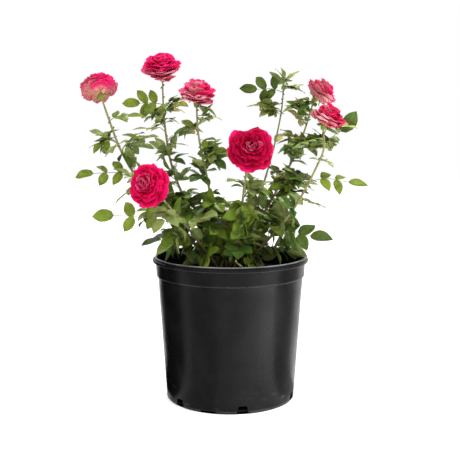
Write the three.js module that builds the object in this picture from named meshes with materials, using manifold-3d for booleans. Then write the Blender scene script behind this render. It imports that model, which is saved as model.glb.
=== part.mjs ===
// A rose bush in bloom, growing in a plain black nursery pot.
//
// Millimetres, +Z up. The origin is the centre of the pot's flat underside, and +X is to the right as
// the bush is usually looked at, from the front along +Y. The pot is a lathed shell with a rolled rim
// and drain notches, the canes are tapering limbs that fan out from one woody crown, each bloom is a
// lobed cup that faces its own way, and each mass of leaves is an uneven closed solid that is cut
// clear of every limb, bloom and earlier mass that it meets.

import * as THREE from 'three';
import { mergeVertices } from 'three/addons/utils/BufferGeometryUtils.js';
import Module from 'manifold-3d';

const wasm = await Module();
wasm.setup();

// ---- Driving dimensions ----------------------------------------------------------------------

const GAP = 0.3;                       // air between two solids that meet

const POT_HEIGHT = 249;
const POT_RIM_RADIUS = 135;            // outside of the rolled rim
const POT_BAND_RADIUS = 129.8;         // straight band just under the rim
const POT_STEP_HEIGHT = 214;           // foot of that band, where the wall steps in
const POT_SHOULDER_RADIUS = 125.9;     // wall just under the step
const POT_BASE_RADIUS = 111.9;
const POT_WALL = 2.5;
const POT_FLOOR = 5;
const POT_SEGMENTS = 40;
const RIM_DEPTH = 8.5;                 // height of the rolled rim

const NOTCH_COUNT = 6;                 // drain notches round the foot of the wall
const NOTCH_FIRST = -79.5;             // degrees from +X, just right of the front
const NOTCH_WIDTH = 22;
const NOTCH_HEIGHT = 14;
const NOTCH_REACH = 10;                // how far a notch cuts in from the wall's face
const ARCH_FIRST = -109.5;             // wide low arches between every second pair of notches
const ARCH_COUNT = 3;
const ARCH_WIDTH = 34;
const ARCH_HEIGHT = 5;

const SOIL_TOP = 207;
const SOIL_CROWN = 5;                  // how much the soil rises towards the middle
const CROWN_RADIUS = 25;               // woody knob that every cane springs from
const CROWN_HEIGHT = 13;
const CROWN_BURIED = 8;

const CANE_SIDES = 6;
const CANE_STEPS = 9;
const CANE_RING = 15;                  // radius at which the canes leave the crown
const CANE_FOOT_HEIGHT = SOIL_TOP + CROWN_HEIGHT - 8;

const BLOOM_SEGMENTS = 12;
const BLOOM_LOBES = 5;
const LEAF_UNEVENNESS = 0.16;          // how far a mass of leaves departs from an ellipsoid

// ---- The canes: azimuth of the foot in degrees, foot and tip radius, the bends the cane passes, and
// either the bloom it carries or its own tip.

const CANES = [
  { name: 'cane_left', foot: 188, girth: [4.6, 1.8], bends: [[-68, -10, 277], [-117, -20, 347],
    [-165, -25, 392], [-190, -31, 446]], bloom: 'bloom_left' },
  { name: 'cane_top', foot: 140, girth: [4.2, 1.6], bends: [[-58, 19, 302], [-101, 36, 392],
    [-115, 46, 465], [-119, 53, 512]], bloom: 'bloom_top' },
  { name: 'cane_centre', foot: 95, girth: [4.0, 1.6], bends: [[-20, -4, 262], [-37, -10, 370],
    [-55, -20, 461]], bloom: 'bloom_centre' },
  { name: 'cane_front_left', foot: 232, girth: [3.8, 1.8], bends: [[-38, -26, 255], [-79, -64, 315],
    [-108, -88, 352]], bloom: 'bloom_front_left' },
  { name: 'cane_front', foot: 275, girth: [4.2, 2.0], bends: [[12, -20, 250], [18, -36, 323],
    [24, -47, 378]], bloom: 'bloom_front' },
  { name: 'cane_right_back', foot: 35, girth: [4.0, 1.6], bends: [[40, 22, 285], [93, 47, 377],
    [128, 60, 451]], bloom: 'bloom_right_back' },
  { name: 'cane_right', foot: 345, girth: [4.2, 1.7], bends: [[54, -14, 267], [101, -25, 322],
    [147, -34, 409], [160, -36, 450]], bloom: 'bloom_right' },
  { name: 'cane_tall', foot: 65, girth: [3.8, 1.2], bends: [[20, 33, 268], [52, 66, 345],
    [79, 91, 432], [95, 100, 510]], tip: [97, 104, 561] },
  { name: 'cane_back', foot: 110, girth: [3.8, 1.5], bends: [[-12, 42, 252], [-8, 78, 282]],
    tip: [2, 108, 312] },
];

// ---- The blooms: middle, outer radius, height along the axis and the way each one faces.

const BLOOMS = [
  { name: 'bloom_left', middle: [-220, -35, 535], radius: 31, height: 38, faces: [-0.35, 0.62, 0.70] },
  { name: 'bloom_top', middle: [-122, 55, 578], radius: 33, height: 46, faces: [-0.08, -0.38, 0.92] },
  { name: 'bloom_centre', middle: [-55, -20, 529], radius: 31, height: 40, faces: [0.12, -0.25, 0.96] },
  { name: 'bloom_front_left', middle: [-130, -112, 379], radius: 35, height: 42,
    faces: [-0.42, -0.87, 0.26] },
  { name: 'bloom_front', middle: [34, -74, 434], radius: 37, height: 44, faces: [0.10, -0.97, 0.22] },
  { name: 'bloom_right_back', middle: [162, 65, 533], radius: 31, height: 38,
    faces: [0.70, -0.12, 0.70] },
  { name: 'bloom_right', middle: [162, -40, 488], radius: 30, height: 36, faces: [0.50, -0.22, 0.84] },
];

// ---- The masses of leaves: middle, half sizes along X, Y and Z, how far the mass droops to the
// right in degrees, and how many times its facets are divided.

const MASSES = [
  { name: 'leaves_left_top', middle: [-175, -35, 495], half: [31, 14, 13], droop: 0, detail: 1 },
  { name: 'leaves_left_upper', middle: [-220, -30, 450], half: [25, 20, 26], droop: 0, detail: 1 },
  { name: 'leaves_left_far', middle: [-222, -35, 404], half: [46, 13, 13], droop: -24, detail: 1 },
  { name: 'leaves_left_mid', middle: [-175, -30, 410], half: [21, 20, 32], droop: 0, detail: 1 },
  { name: 'leaves_left_inner', middle: [-152, 8, 445], half: [27, 24, 25], droop: 0, detail: 1 },
  { name: 'leaves_front_left', middle: [-196, -70, 340], half: [38, 12, 12], droop: -26, detail: 1 },
  { name: 'leaves_left_low', middle: [-150, -50, 325], half: [27, 18, 17], droop: 0, detail: 1 },
  { name: 'leaves_rim_left', middle: [-116, -55, 281], half: [30, 28, 29], droop: 0, detail: 1 },
  { name: 'leaves_top_left', middle: [-158, 50, 520], half: [33, 13, 15], droop: -10, detail: 1 },
  { name: 'leaves_top_right', middle: [-86, 26, 511], half: [23, 17, 22], droop: 0, detail: 1 },
  { name: 'leaves_back_upper', middle: [-132, 60, 494], half: [33, 24, 19], droop: 0, detail: 1 },
  { name: 'leaves_centre_upper', middle: [-82, 12, 470], half: [22, 19, 18], droop: 0, detail: 1 },
  { name: 'leaves_back_mid', middle: [-113, 42, 442], half: [30, 25, 17], droop: 0, detail: 1 },
  { name: 'leaves_back_low', middle: [-105, 36, 404], half: [29, 28, 20], droop: 0, detail: 1 },
  { name: 'leaves_centre_top', middle: [-34, -10, 495], half: [25, 16, 16], droop: 0, detail: 1 },
  { name: 'leaves_centre_mid', middle: [-36, -18, 444], half: [27, 20, 14], droop: 0, detail: 1 },
  { name: 'leaves_centre_low', middle: [-55, -12, 408], half: [22, 22, 17], droop: 0, detail: 1 },
  { name: 'leaves_bloom_side', middle: [-14, -34, 420], half: [21, 24, 28], droop: 0, detail: 1 },
  { name: 'leaves_tall_tip', middle: [96, 105, 572], half: [22, 14, 12], droop: 0, detail: 1 },
  { name: 'leaves_tall_left', middle: [54, 96, 546], half: [38, 13, 15], droop: -6, detail: 1 },
  { name: 'leaves_tall_side', middle: [121, 100, 543], half: [17, 12, 11], droop: 0, detail: 1 },
  { name: 'leaves_right_upper_left', middle: [62, 86, 505], half: [34, 25, 21], droop: 0, detail: 1 },
  { name: 'leaves_right_upper', middle: [121, 74, 503], half: [26, 27, 23], droop: 0, detail: 1 },
  { name: 'leaves_right_bloom', middle: [191, -14, 474], half: [23, 16, 19], droop: 0, detail: 1 },
  { name: 'leaves_right_mid', middle: [148, 6, 444], half: [55, 34, 18], droop: 0, detail: 1 },
  { name: 'leaves_right_inner', middle: [104, 52, 435], half: [27, 30, 22], droop: 0, detail: 1 },
  { name: 'leaves_right_far', middle: [188, -45, 389], half: [46, 15, 14], droop: 14, detail: 1 },
  { name: 'leaves_right_heart', middle: [110, 22, 380], half: [43, 48, 25], droop: 0, detail: 2 },
  { name: 'leaves_right_low', middle: [130, -60, 303], half: [40, 15, 14], droop: 22, detail: 1 },
  { name: 'leaves_rim_right', middle: [116, -10, 263], half: [32, 24, 13], droop: 22, detail: 1 },
  { name: 'leaves_under_bloom', middle: [46, -24, 370], half: [31, 34, 26], droop: 0, detail: 1 },
  { name: 'leaves_low_left', middle: [-92, -18, 340], half: [35, 48, 38], droop: 0, detail: 2 },
  { name: 'leaves_low_centre', middle: [-34, -44, 328], half: [29, 44, 38], droop: 0, detail: 2 },
  { name: 'leaves_low_right', middle: [24, -44, 314], half: [31, 48, 35], droop: 0, detail: 2 },
  { name: 'leaves_low_far_right', middle: [88, 2, 310], half: [33, 50, 30], droop: 0, detail: 2 },
  { name: 'leaves_foot_left', middle: [-68, 22, 268], half: [26, 44, 26], droop: 0, detail: 1 },
  { name: 'leaves_foot_right', middle: [56, 14, 258], half: [30, 48, 18], droop: 0, detail: 1 },
  { name: 'leaves_back_left', middle: [-44, 116, 304], half: [46, 48, 36], droop: 0, detail: 1 },
  { name: 'leaves_back_right', middle: [46, 120, 300], half: [46, 46, 36], droop: 0, detail: 1 },
];

// ---- Finishes --------------------------------------------------------------------------------

function finish(colour, roughness) {
  return new THREE.MeshStandardMaterial({ color: colour, roughness, metalness: 0 });
}

const BLACK_PLASTIC = finish(0x1d1d1e, 0.45);
const POTTING_SOIL = finish(0x1f1712, 0.95);
const OLD_BARK = finish(0x6b5a38, 0.8);
const GREEN_BARK = finish(0x6f7436, 0.6);
const CRIMSON_PETAL = finish(0xc4123f, 0.55);
const ROSE_LEAF = finish(0x4f6b2c, 0.5);

// ---- Solids ----------------------------------------------------------------------------------

/** Turns a closed geometry into a solid that can be cut. */
function solidOf(geometry) {
  const bare = geometry.clone();
  bare.deleteAttribute('normal');
  bare.deleteAttribute('uv');
  const merged = mergeVertices(bare, 1e-3);
  const indices = [];
  const source = merged.index.array;
  for (let i = 0; i < source.length; i += 3) {
    const [a, b, c] = [source[i], source[i + 1], source[i + 2]];
    if (a !== b && b !== c && c !== a) indices.push(a, b, c);
  }
  return new wasm.Manifold(new wasm.Mesh({
    numProp: 3,
    vertProperties: new Float32Array(merged.attributes.position.array),
    triVerts: new Uint32Array(indices),
  }));
}

/** Keeps the largest of the pieces that a cut has left. */
function largest(solid) {
  const pieces = solid.decompose();
  pieces.sort((a, b) => b.volume() - a.volume());
  return pieces[0];
}

/** Makes the named mesh of a finished solid. */
function meshOf(name, solid, material) {
  const { vertProperties, triVerts } = solid.getMesh();
  const geometry = new THREE.BufferGeometry();
  geometry.setAttribute('position', new THREE.BufferAttribute(new Float32Array(vertProperties), 3));
  geometry.setIndex(new THREE.BufferAttribute(new Uint32Array(triVerts), 1));
  geometry.computeVertexNormals();
  const mesh = new THREE.Mesh(geometry, material);
  mesh.name = name;
  return mesh;
}

/** Says whether the boxes of two solids come within a gap of each other. */
function near(solid, other) {
  const a = solid.boundingBox();
  const b = other.boundingBox();
  return [0, 1, 2].every((k) => a.min[k] < b.max[k] + GAP && b.min[k] < a.max[k] + GAP);
}

/** Cuts a solid clear of every cutter near it and keeps its largest piece. */
function cutClear(solid, cutters) {
  let cut = solid;
  for (const cutter of cutters) {
    if (near(cut, cutter)) cut = cut.subtract(cutter);
  }
  return largest(cut);
}

/** A smooth unevenness between about -1 and 1 for a direction and a seed. */
function wobble(direction, seed) {
  const { x, y, z } = direction;
  return (Math.sin(2.3 * x + 1.7 * y + 1.3 * seed)
    + Math.sin(2.9 * y - 2.1 * z + 2.1 * seed)
    + Math.sin(3.7 * z + 3.1 * x + 0.7 * seed)) / 3;
}

function radians(degrees) {
  return THREE.MathUtils.degToRad(degrees);
}

// ---- Pot, soil and crown ---------------------------------------------------------------------

/** Radius of the wall's outer face at a height below the step. */
function wallRadius(height) {
  return POT_BASE_RADIUS + (POT_SHOULDER_RADIUS - POT_BASE_RADIUS) * height / POT_STEP_HEIGHT;
}

/** Lathes a profile of [radius, height] pairs about the Z axis. */
function lathe(profile, segments) {
  const points = profile.map(([radius, height]) => new THREE.Vector2(radius, height));
  return new THREE.LatheGeometry(points, segments).rotateX(Math.PI / 2);
}

/** A slot through the wall's foot, centred on an azimuth and narrowing upwards. */
function footSlot(azimuth, width, height) {
  const half = width / 2;
  const shape = new THREE.Shape([
    new THREE.Vector2(-half, -1),
    new THREE.Vector2(half, -1),
    new THREE.Vector2(0.7 * half, height),
    new THREE.Vector2(-0.7 * half, height),
  ]);
  const slot = new THREE.ExtrudeGeometry(shape, { depth: 2 * NOTCH_REACH, bevelEnabled: false });
  slot.rotateX(Math.PI / 2);
  slot.rotateZ(Math.PI / 2);
  slot.translate(POT_BASE_RADIUS - NOTCH_REACH, 0, 0);
  slot.rotateZ(radians(azimuth));
  return solidOf(slot);
}

function makePot() {
  const rimFoot = POT_HEIGHT - RIM_DEPTH;
  const shell = [
    [0, 0], [POT_BASE_RADIUS - 2, 0], [POT_BASE_RADIUS, 2],
    [POT_SHOULDER_RADIUS, POT_STEP_HEIGHT - 1],
    [POT_BAND_RADIUS - 1.5, POT_STEP_HEIGHT + 2],
    [POT_BAND_RADIUS, rimFoot],
    [POT_RIM_RADIUS - 0.8, rimFoot], [POT_RIM_RADIUS, rimFoot + 3.5],
    [POT_RIM_RADIUS - 1.5, POT_HEIGHT - 1.2], [POT_RIM_RADIUS - 4, POT_HEIGHT],
    [POT_BAND_RADIUS - POT_WALL, POT_HEIGHT - 2.5],
    [POT_BAND_RADIUS - 1.5 - POT_WALL, POT_STEP_HEIGHT + 2],
    [POT_SHOULDER_RADIUS - POT_WALL, POT_STEP_HEIGHT - 1],
    [wallRadius(POT_FLOOR) - POT_WALL, POT_FLOOR], [0, POT_FLOOR],
  ];
  let pot = solidOf(lathe(shell, POT_SEGMENTS));
  for (let i = 0; i < NOTCH_COUNT; i += 1) {
    const azimuth = NOTCH_FIRST + i * 360 / NOTCH_COUNT;
    pot = pot.subtract(footSlot(azimuth, NOTCH_WIDTH, NOTCH_HEIGHT));
  }
  for (let i = 0; i < ARCH_COUNT; i += 1) {
    const azimuth = ARCH_FIRST + i * 360 / ARCH_COUNT;
    pot = pot.subtract(footSlot(azimuth, ARCH_WIDTH, ARCH_HEIGHT));
  }
  return pot;
}

function makeSoil(cutters) {
  const inner = POT_WALL + GAP;
  const profile = [
    [0, POT_FLOOR + GAP], [wallRadius(POT_FLOOR) - inner, POT_FLOOR + GAP],
    [wallRadius(SOIL_TOP) - inner, SOIL_TOP], [0.55 * POT_BASE_RADIUS, SOIL_TOP + 0.6 * SOIL_CROWN],
    [0, SOIL_TOP + SOIL_CROWN],
  ];
  return cutClear(solidOf(lathe(profile, POT_SEGMENTS)), cutters);
}

/** The crown, grown by a margin when it is to cut its neighbours. */
function makeCrown(margin) {
  const ball = new THREE.IcosahedronGeometry(1, 2);
  const place = ball.attributes.position;
  const point = new THREE.Vector3();
  for (let i = 0; i < place.count; i += 1) {
    point.fromBufferAttribute(place, i);
    const swell = 1 + 0.12 * wobble(point, 4);
    const rise = point.z > 0 ? CROWN_HEIGHT : CROWN_BURIED;
    place.setXYZ(i, point.x * (CROWN_RADIUS * swell + margin), point.y * (CROWN_RADIUS * swell + margin),
      SOIL_TOP + point.z * (rise + margin));
  }
  return solidOf(ball);
}

// ---- Canes -----------------------------------------------------------------------------------

/** Where a bloom's stalk ends: the middle of its back. */
function bloomBack(bloom) {
  const axis = new THREE.Vector3(...bloom.faces).normalize();
  return new THREE.Vector3(...bloom.middle).addScaledVector(axis, -0.46 * bloom.height);
}

/** The centre line of a cane from the crown to its tip. */
function caneLine(cane) {
  const azimuth = radians(cane.foot);
  const foot = new THREE.Vector3(CANE_RING * Math.cos(azimuth), CANE_RING * Math.sin(azimuth),
    CANE_FOOT_HEIGHT);
  const bends = cane.bends.map((bend) => new THREE.Vector3(...bend));
  const bloom = BLOOMS.find((each) => each.name === cane.bloom);
  const tip = bloom ? bloomBack(bloom) : new THREE.Vector3(...cane.tip);
  return new THREE.CatmullRomCurve3([foot, ...bends, tip]);
}

/** A cane as a tapering tube, thicker by a margin when it is to cut its neighbours. */
function makeCane(cane, margin) {
  const line = caneLine(cane);
  const frames = line.computeFrenetFrames(CANE_STEPS);
  const tube = new THREE.CylinderGeometry(1, 1, 1, CANE_SIDES, CANE_STEPS);
  const place = tube.attributes.position;
  const [footRadius, tipRadius] = cane.girth;
  for (let i = 0; i < place.count; i += 1) {
    const along = place.getY(i) + 0.5;
    const step = Math.round(along * CANE_STEPS);
    const radius = THREE.MathUtils.lerp(footRadius, tipRadius, along) + margin;
    const end = step === 0 ? -margin : (step === CANE_STEPS ? margin : 0);
    const point = line.getPointAt(step / CANE_STEPS)
      .addScaledVector(frames.normals[step], place.getZ(i) * radius)
      .addScaledVector(frames.binormals[step], place.getX(i) * radius)
      .addScaledVector(frames.tangents[step], end);
    place.setXYZ(i, point.x, point.y, point.z);
  }
  return solidOf(tube);
}

// ---- Blooms ----------------------------------------------------------------------------------

/** A very double bloom as a lobed cup, larger by a margin when it is to cut its neighbours. */
function makeBloom(bloom, margin, seed) {
  const profile = [[0, -0.46], [0.34, -0.42], [0.78, -0.2], [1, 0.1], [0.9, 0.38], [0.55, 0.5],
    [0.2, 0.4], [0, 0.38]];
  const cup = lathe(profile, BLOOM_SEGMENTS);
  const place = cup.attributes.position;
  const point = new THREE.Vector3();
  for (let i = 0; i < place.count; i += 1) {
    point.fromBufferAttribute(place, i);
    const turn = Math.atan2(point.y, point.x);
    const lobe = 1 + 0.05 * Math.cos(BLOOM_LOBES * turn + seed) * Math.hypot(point.x, point.y);
    place.setXYZ(i, point.x * (bloom.radius * lobe + margin), point.y * (bloom.radius * lobe + margin),
      point.z * (bloom.height + 3 * margin));
  }
  const axis = new THREE.Vector3(...bloom.faces).normalize();
  cup.applyQuaternion(new THREE.Quaternion().setFromUnitVectors(new THREE.Vector3(0, 0, 1), axis));
  cup.translate(...bloom.middle);
  return solidOf(cup);
}

// ---- Masses of leaves ------------------------------------------------------------------------

/** One uneven mass of leaves, larger by a margin when it is to cut its neighbours. */
function makeMass(mass, margin, seed) {
  const ball = new THREE.IcosahedronGeometry(1, mass.detail);
  const place = ball.attributes.position;
  const point = new THREE.Vector3();
  const [a, b, c] = mass.half;
  for (let i = 0; i < place.count; i += 1) {
    point.fromBufferAttribute(place, i);
    const swell = 1 + LEAF_UNEVENNESS * wobble(point, seed);
    place.setXYZ(i, point.x * (a * swell + margin), point.y * (b * swell + margin),
      point.z * (c * swell + margin));
  }
  ball.rotateY(radians(mass.droop));
  ball.translate(...mass.middle);
  return solidOf(ball);
}

/** The space of the rim and wall that no leaf solid may enter. */
function makeRimClearance() {
  const inside = POT_BAND_RADIUS - POT_WALL - 2;
  const outside = POT_RIM_RADIUS + 2;
  const top = POT_HEIGHT + 2 * GAP;
  const ring = [[inside, 0], [outside, 0], [outside, top], [inside, top], [inside, 0]];
  return solidOf(lathe(ring, POT_SEGMENTS));
}

// ---- Assembly --------------------------------------------------------------------------------

function makeBush() {
  const bush = new THREE.Group();
  const cutters = [];

  bush.add(meshOf('pot', makePot(), BLACK_PLASTIC));

  const crown = makeCrown(0);
  const crownSpace = makeCrown(GAP);
  bush.add(meshOf('soil', makeSoil([crownSpace]), POTTING_SOIL));
  bush.add(meshOf('crown', crown, OLD_BARK));
  cutters.push(crownSpace, makeRimClearance());

  BLOOMS.forEach((bloom, i) => {
    bush.add(meshOf(bloom.name, cutClear(makeBloom(bloom, 0, i), cutters), CRIMSON_PETAL));
    cutters.push(makeBloom(bloom, GAP, i));
  });
  for (const cane of CANES) {
    bush.add(meshOf(cane.name, cutClear(makeCane(cane, 0), cutters), GREEN_BARK));
    cutters.push(makeCane(cane, GAP));
  }
  MASSES.forEach((mass, i) => {
    bush.add(meshOf(mass.name, cutClear(makeMass(mass, 0, i), cutters), ROSE_LEAF));
    cutters.push(makeMass(mass, GAP, i));
  });
  return bush;
}

export default makeBush();
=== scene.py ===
"""A young bush rose in full bloom, growing in a black nursery pot.

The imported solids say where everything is. The canes' centre lines, the blooms' middles and the masses
of leaves are all measured on them, and the fine plant is grown over those measures: bark with relief
and prickles, very double blooms built petal by petal, and compound leaves that spring from the canes
and end at the skins of the leaf masses. Every draw of chance is seeded.
"""
import logging
import math
from dataclasses import dataclass, field
from enum import Enum

import bmesh
import bpy
import numpy as np
from mathutils import Matrix, Vector, noise


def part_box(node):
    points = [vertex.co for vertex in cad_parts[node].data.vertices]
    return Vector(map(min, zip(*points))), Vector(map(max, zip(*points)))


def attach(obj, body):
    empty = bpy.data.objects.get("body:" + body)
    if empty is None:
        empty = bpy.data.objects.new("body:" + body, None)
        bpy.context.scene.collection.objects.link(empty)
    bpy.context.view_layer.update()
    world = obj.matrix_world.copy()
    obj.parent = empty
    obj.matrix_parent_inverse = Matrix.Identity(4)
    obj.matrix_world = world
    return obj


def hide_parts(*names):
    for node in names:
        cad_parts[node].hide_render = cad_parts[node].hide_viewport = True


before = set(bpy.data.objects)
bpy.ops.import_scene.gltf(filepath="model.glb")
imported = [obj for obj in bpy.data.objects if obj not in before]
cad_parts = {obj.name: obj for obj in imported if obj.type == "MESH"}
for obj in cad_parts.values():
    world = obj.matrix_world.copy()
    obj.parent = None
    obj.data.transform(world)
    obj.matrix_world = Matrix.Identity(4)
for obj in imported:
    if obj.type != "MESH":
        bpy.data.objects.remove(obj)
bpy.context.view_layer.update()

MM = 0.001
BODY = "root"
UP = np.array([0.0, 0.0, 1.0])
LOG = logging.getLogger("rose_bush")

Array = np.ndarray
Random = np.random.Generator
Material = bpy.types.Material
Piece = bpy.types.Object
Pair = tuple[float, float]
Triple = tuple[float, float, float]
Colour = Triple
Socket = bpy.types.NodeSocket
Value = Socket | float
Paint = Socket | Colour

BLACK: Colour = (0.0, 0.0, 0.0)
WHITE: Colour = (1.0, 1.0, 1.0)
CLEAR_OF_SOIL = 0.222  # height from which a cane stands clear of the soil
GOLDEN_ANGLE = math.radians(137.5)  # turn from one leaf on a cane to the next
SHORTEST = 1e-12  # least length of a vector


# ---- Vector helpers

def unit(vector: Array) -> Array:
    """Returns a vector scaled to length one.

    Args:
        vector: Any vector that isn't zero.

    Returns:
        The unit vector of the same direction.
    """
    return vector / max(float(np.linalg.norm(vector)), SHORTEST)


def square_to(vector: Array, direction: Array) -> Array:
    """Returns the unit part of a vector that is square to a direction.

    Args:
        vector: The vector to straighten.
        direction: The unit direction it is made square to.

    Returns:
        A unit vector square to the direction.
    """
    across = vector - direction * float(vector @ direction)
    if np.linalg.norm(across) < 1e-6:
        across = np.cross(direction, np.array([1.0, 0.3, 0.2]))
    return unit(across)


def any_direction(rng: Random) -> Array:
    """Returns a random unit vector, even over the sphere."""
    return unit(rng.normal(size=3))


class Path:
    """A smooth line through space, with a frame along it that twists as little as it can."""

    SAMPLES = 16
    FIRST_NORMAL = (0.31, -0.9, 0.27)

    def __init__(self, knots: Array, steps: int = 24) -> None:
        """Samples a Catmull-Rom line through the knots at even distances.

        Args:
            knots: The points the line passes, two or more.
            steps: How many even lengths it is divided into.
        """
        knots = np.asarray(knots, float)
        ends = np.vstack([2 * knots[0] - knots[1], knots, 2 * knots[-1] - knots[-2]])
        dense = []
        for a, b, c, d in zip(ends[:-3], ends[1:-2], ends[2:-1], ends[3:]):
            t = np.linspace(0, 1, self.SAMPLES, endpoint=False)[:, None]
            dense.append(0.5 * (2 * b + (c - a) * t + (2 * a - 5 * b + 4 * c - d) * t ** 2
                                + (3 * b - a - 3 * c + d) * t ** 3))
        dense = np.vstack(dense + [knots[-1:]])
        run = np.concatenate([[0], np.cumsum(np.linalg.norm(np.diff(dense, axis=0), axis=1))])
        even = np.linspace(0, run[-1], steps + 1)
        self.points = np.stack([np.interp(even, run, dense[:, k]) for k in range(3)], 1)
        self.length = float(run[-1])
        self.tangents = np.gradient(self.points, axis=0)
        self.tangents /= np.linalg.norm(self.tangents, axis=1)[:, None]
        normal = square_to(np.array(self.FIRST_NORMAL), self.tangents[0])
        normals = []
        for tangent in self.tangents:
            normal = square_to(normal, tangent)
            normals.append(normal)
        self.normals = np.array(normals)
        self.sides = np.cross(self.tangents, self.normals)

    def _sample(self, values: Array, t: Array | float) -> Array:
        """Interpolates one of the arrays at a share of the length."""
        at = np.linspace(0, 1, len(values))
        return np.stack([np.interp(t, at, values[:, k]) for k in range(3)], -1)

    def at(self, t: Array | float) -> Array:
        """Returns the point or points at a share of the length."""
        return self._sample(self.points, t)

    def tangent(self, t: Array | float) -> Array:
        """Returns the direction or directions at a share of the length."""
        return self._sample(self.tangents, t)

    def wrap(self, straight: Array, radius: Array) -> Array:
        """Bends a straight unit tube along the line.

        Args:
            straight: Points of a tube of radius 1 about +Z, from z = 0 to z = 1.
            radius: The tube's radius at each of those points.

        Returns:
            The bent points.
        """
        t = straight[:, 2]
        normal = self._sample(self.normals, t)
        side = self._sample(self.sides, t)
        return (self.at(t) + normal * (straight[:, 0] * radius)[:, None]
                + side * (straight[:, 1] * radius)[:, None])


# ---- Meshes made of many copies

@dataclass
class Stamp:
    """A small shape held as arrays, ready to be copied many times.

    Attributes:
        points: The vertices, one row each.
        loops: The vertex of every face corner, face after face.
        sizes: How many corners each face has.
        uvs: The UV of every corner.
        slots: The material slot of every face.
    """

    points: Array
    loops: Array
    sizes: Array
    uvs: Array
    slots: Array

    @classmethod
    def of(cls, shape: bmesh.types.BMesh) -> "Stamp":
        """Reads a bmesh into arrays and frees it.

        Args:
            shape: The finished shape.

        Returns:
            The same shape as a stamp.
        """
        shape.verts.index_update()
        layer = shape.loops.layers.uv.active
        corners = [loop for face in shape.faces for loop in face.loops]
        uvs = [tuple(loop[layer].uv) if layer else (0.0, 0.0) for loop in corners]
        stamp = cls(np.array([v.co[:] for v in shape.verts]),
                    np.array([loop.vert.index for loop in corners]),
                    np.array([len(face.verts) for face in shape.faces]),
                    np.array(uvs),
                    np.array([face.material_index for face in shape.faces]))
        shape.free()
        return stamp


@dataclass
class Heap:
    """Copies of stamps gathered into one joined mesh, each array of a stamp in a list of its own.

    Attributes:
        name: The joined mesh's name.
        count: How many vertices it has so far.
    """

    name: str
    points: list[Array] = field(default_factory=list)
    loops: list[Array] = field(default_factory=list)
    sizes: list[Array] = field(default_factory=list)
    uvs: list[Array] = field(default_factory=list)
    slots: list[Array] = field(default_factory=list)
    count: int = 0

    def add(self, stamp: Stamp, points: Array, slot: int = 0) -> None:
        """Adds one copy of a stamp.

        Args:
            stamp: The shape whose faces and UVs are copied.
            points: Where this copy's vertices are.
            slot: Added to the material slot of each of its faces.
        """
        self.points.append(points)
        self.loops.append(stamp.loops + self.count)
        self.sizes.append(stamp.sizes)
        self.uvs.append(stamp.uvs)
        self.slots.append(stamp.slots + slot)
        self.count += len(points)

    def place(self, stamp: Stamp, origin: Array, axes: Array, slot: int = 0) -> None:
        """Adds one copy of a stamp, turned and scaled by a matrix.

        Args:
            stamp: The shape to copy.
            origin: Where the stamp's origin goes.
            axes: Rows that its X, Y and Z axes become, with their scale.
            slot: Added to the material slot of each of its faces.
        """
        self.add(stamp, origin + stamp.points @ axes, slot)

    def build(self, materials: list[Material]) -> Piece:
        """Makes the joined object.

        Args:
            materials: The object's material slots in order.

        Returns:
            The linked object, smooth shaded, at the origin.
        """
        mesh = bpy.data.meshes.new(self.name)
        points = np.vstack(self.points)
        loops = np.concatenate(self.loops)
        sizes = np.concatenate(self.sizes)
        starts = np.concatenate([[0], np.cumsum(sizes)[:-1]])
        mesh.vertices.add(len(points))
        mesh.vertices.foreach_set("co", points.astype(np.float32).ravel())
        mesh.loops.add(len(loops))
        mesh.loops.foreach_set("vertex_index", loops.astype(np.int32))
        mesh.polygons.add(len(sizes))
        mesh.polygons.foreach_set("loop_start", starts.astype(np.int32))
        mesh.polygons.foreach_set("material_index", np.concatenate(self.slots).astype(np.int32))
        smooth(mesh)
        layer = mesh.uv_layers.new(name="Along")
        layer.data.foreach_set("uv", np.vstack(self.uvs).astype(np.float32).ravel())
        mesh.update(calc_edges=True)
        mesh.validate()
        return link(mesh, materials)


def mesh_of(shape: bmesh.types.BMesh, name: str) -> bpy.types.Mesh:
    """Turns a bmesh into a mesh and frees it.

    Args:
        shape: The finished shape.
        name: The mesh's name.

    Returns:
        The mesh.
    """
    mesh = bpy.data.meshes.new(name)
    shape.to_mesh(mesh)
    shape.free()
    return mesh


def smooth(mesh: bpy.types.Mesh) -> None:
    """Shades every face of a mesh smooth."""
    mesh.polygons.foreach_set("use_smooth", np.ones(len(mesh.polygons), bool))


def put(name: str, data: bpy.types.ID) -> Piece:
    """Puts a mesh, a light or a camera in the scene.

    Args:
        name: The object's name.
        data: What it shows.

    Returns:
        The object, at the origin.
    """
    piece = bpy.data.objects.new(name, data)
    bpy.context.scene.collection.objects.link(piece)
    return piece


def link(mesh: bpy.types.Mesh, materials: list[Material]) -> Piece:
    """Links a mesh as an object of its own name.

    Args:
        mesh: The finished mesh.
        materials: Its material slots in order.

    Returns:
        The object, at the origin.
    """
    for material in materials:
        mesh.materials.append(material)
    return put(mesh.name, mesh)


def settle(piece: Piece, nodes: list[str]) -> None:
    """Lets a piece ride on the plant's body and stand for its solids.

    Args:
        piece: The finished piece.
        nodes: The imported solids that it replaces.
    """
    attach(piece, BODY)
    if nodes:
        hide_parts(*nodes)


def thicken(piece: Piece, thickness: float) -> None:
    """Gives a thin sheet its thickness, with its underside in the next material slot.

    Args:
        piece: The sheet, whose upper faces use even slots.
        thickness: Metres between its two faces.
    """
    wall = piece.modifiers.new("thickness", "SOLIDIFY")
    wall.thickness = thickness
    wall.offset = -1.0
    wall.material_offset = 1
    wall.material_offset_rim = 0


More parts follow.
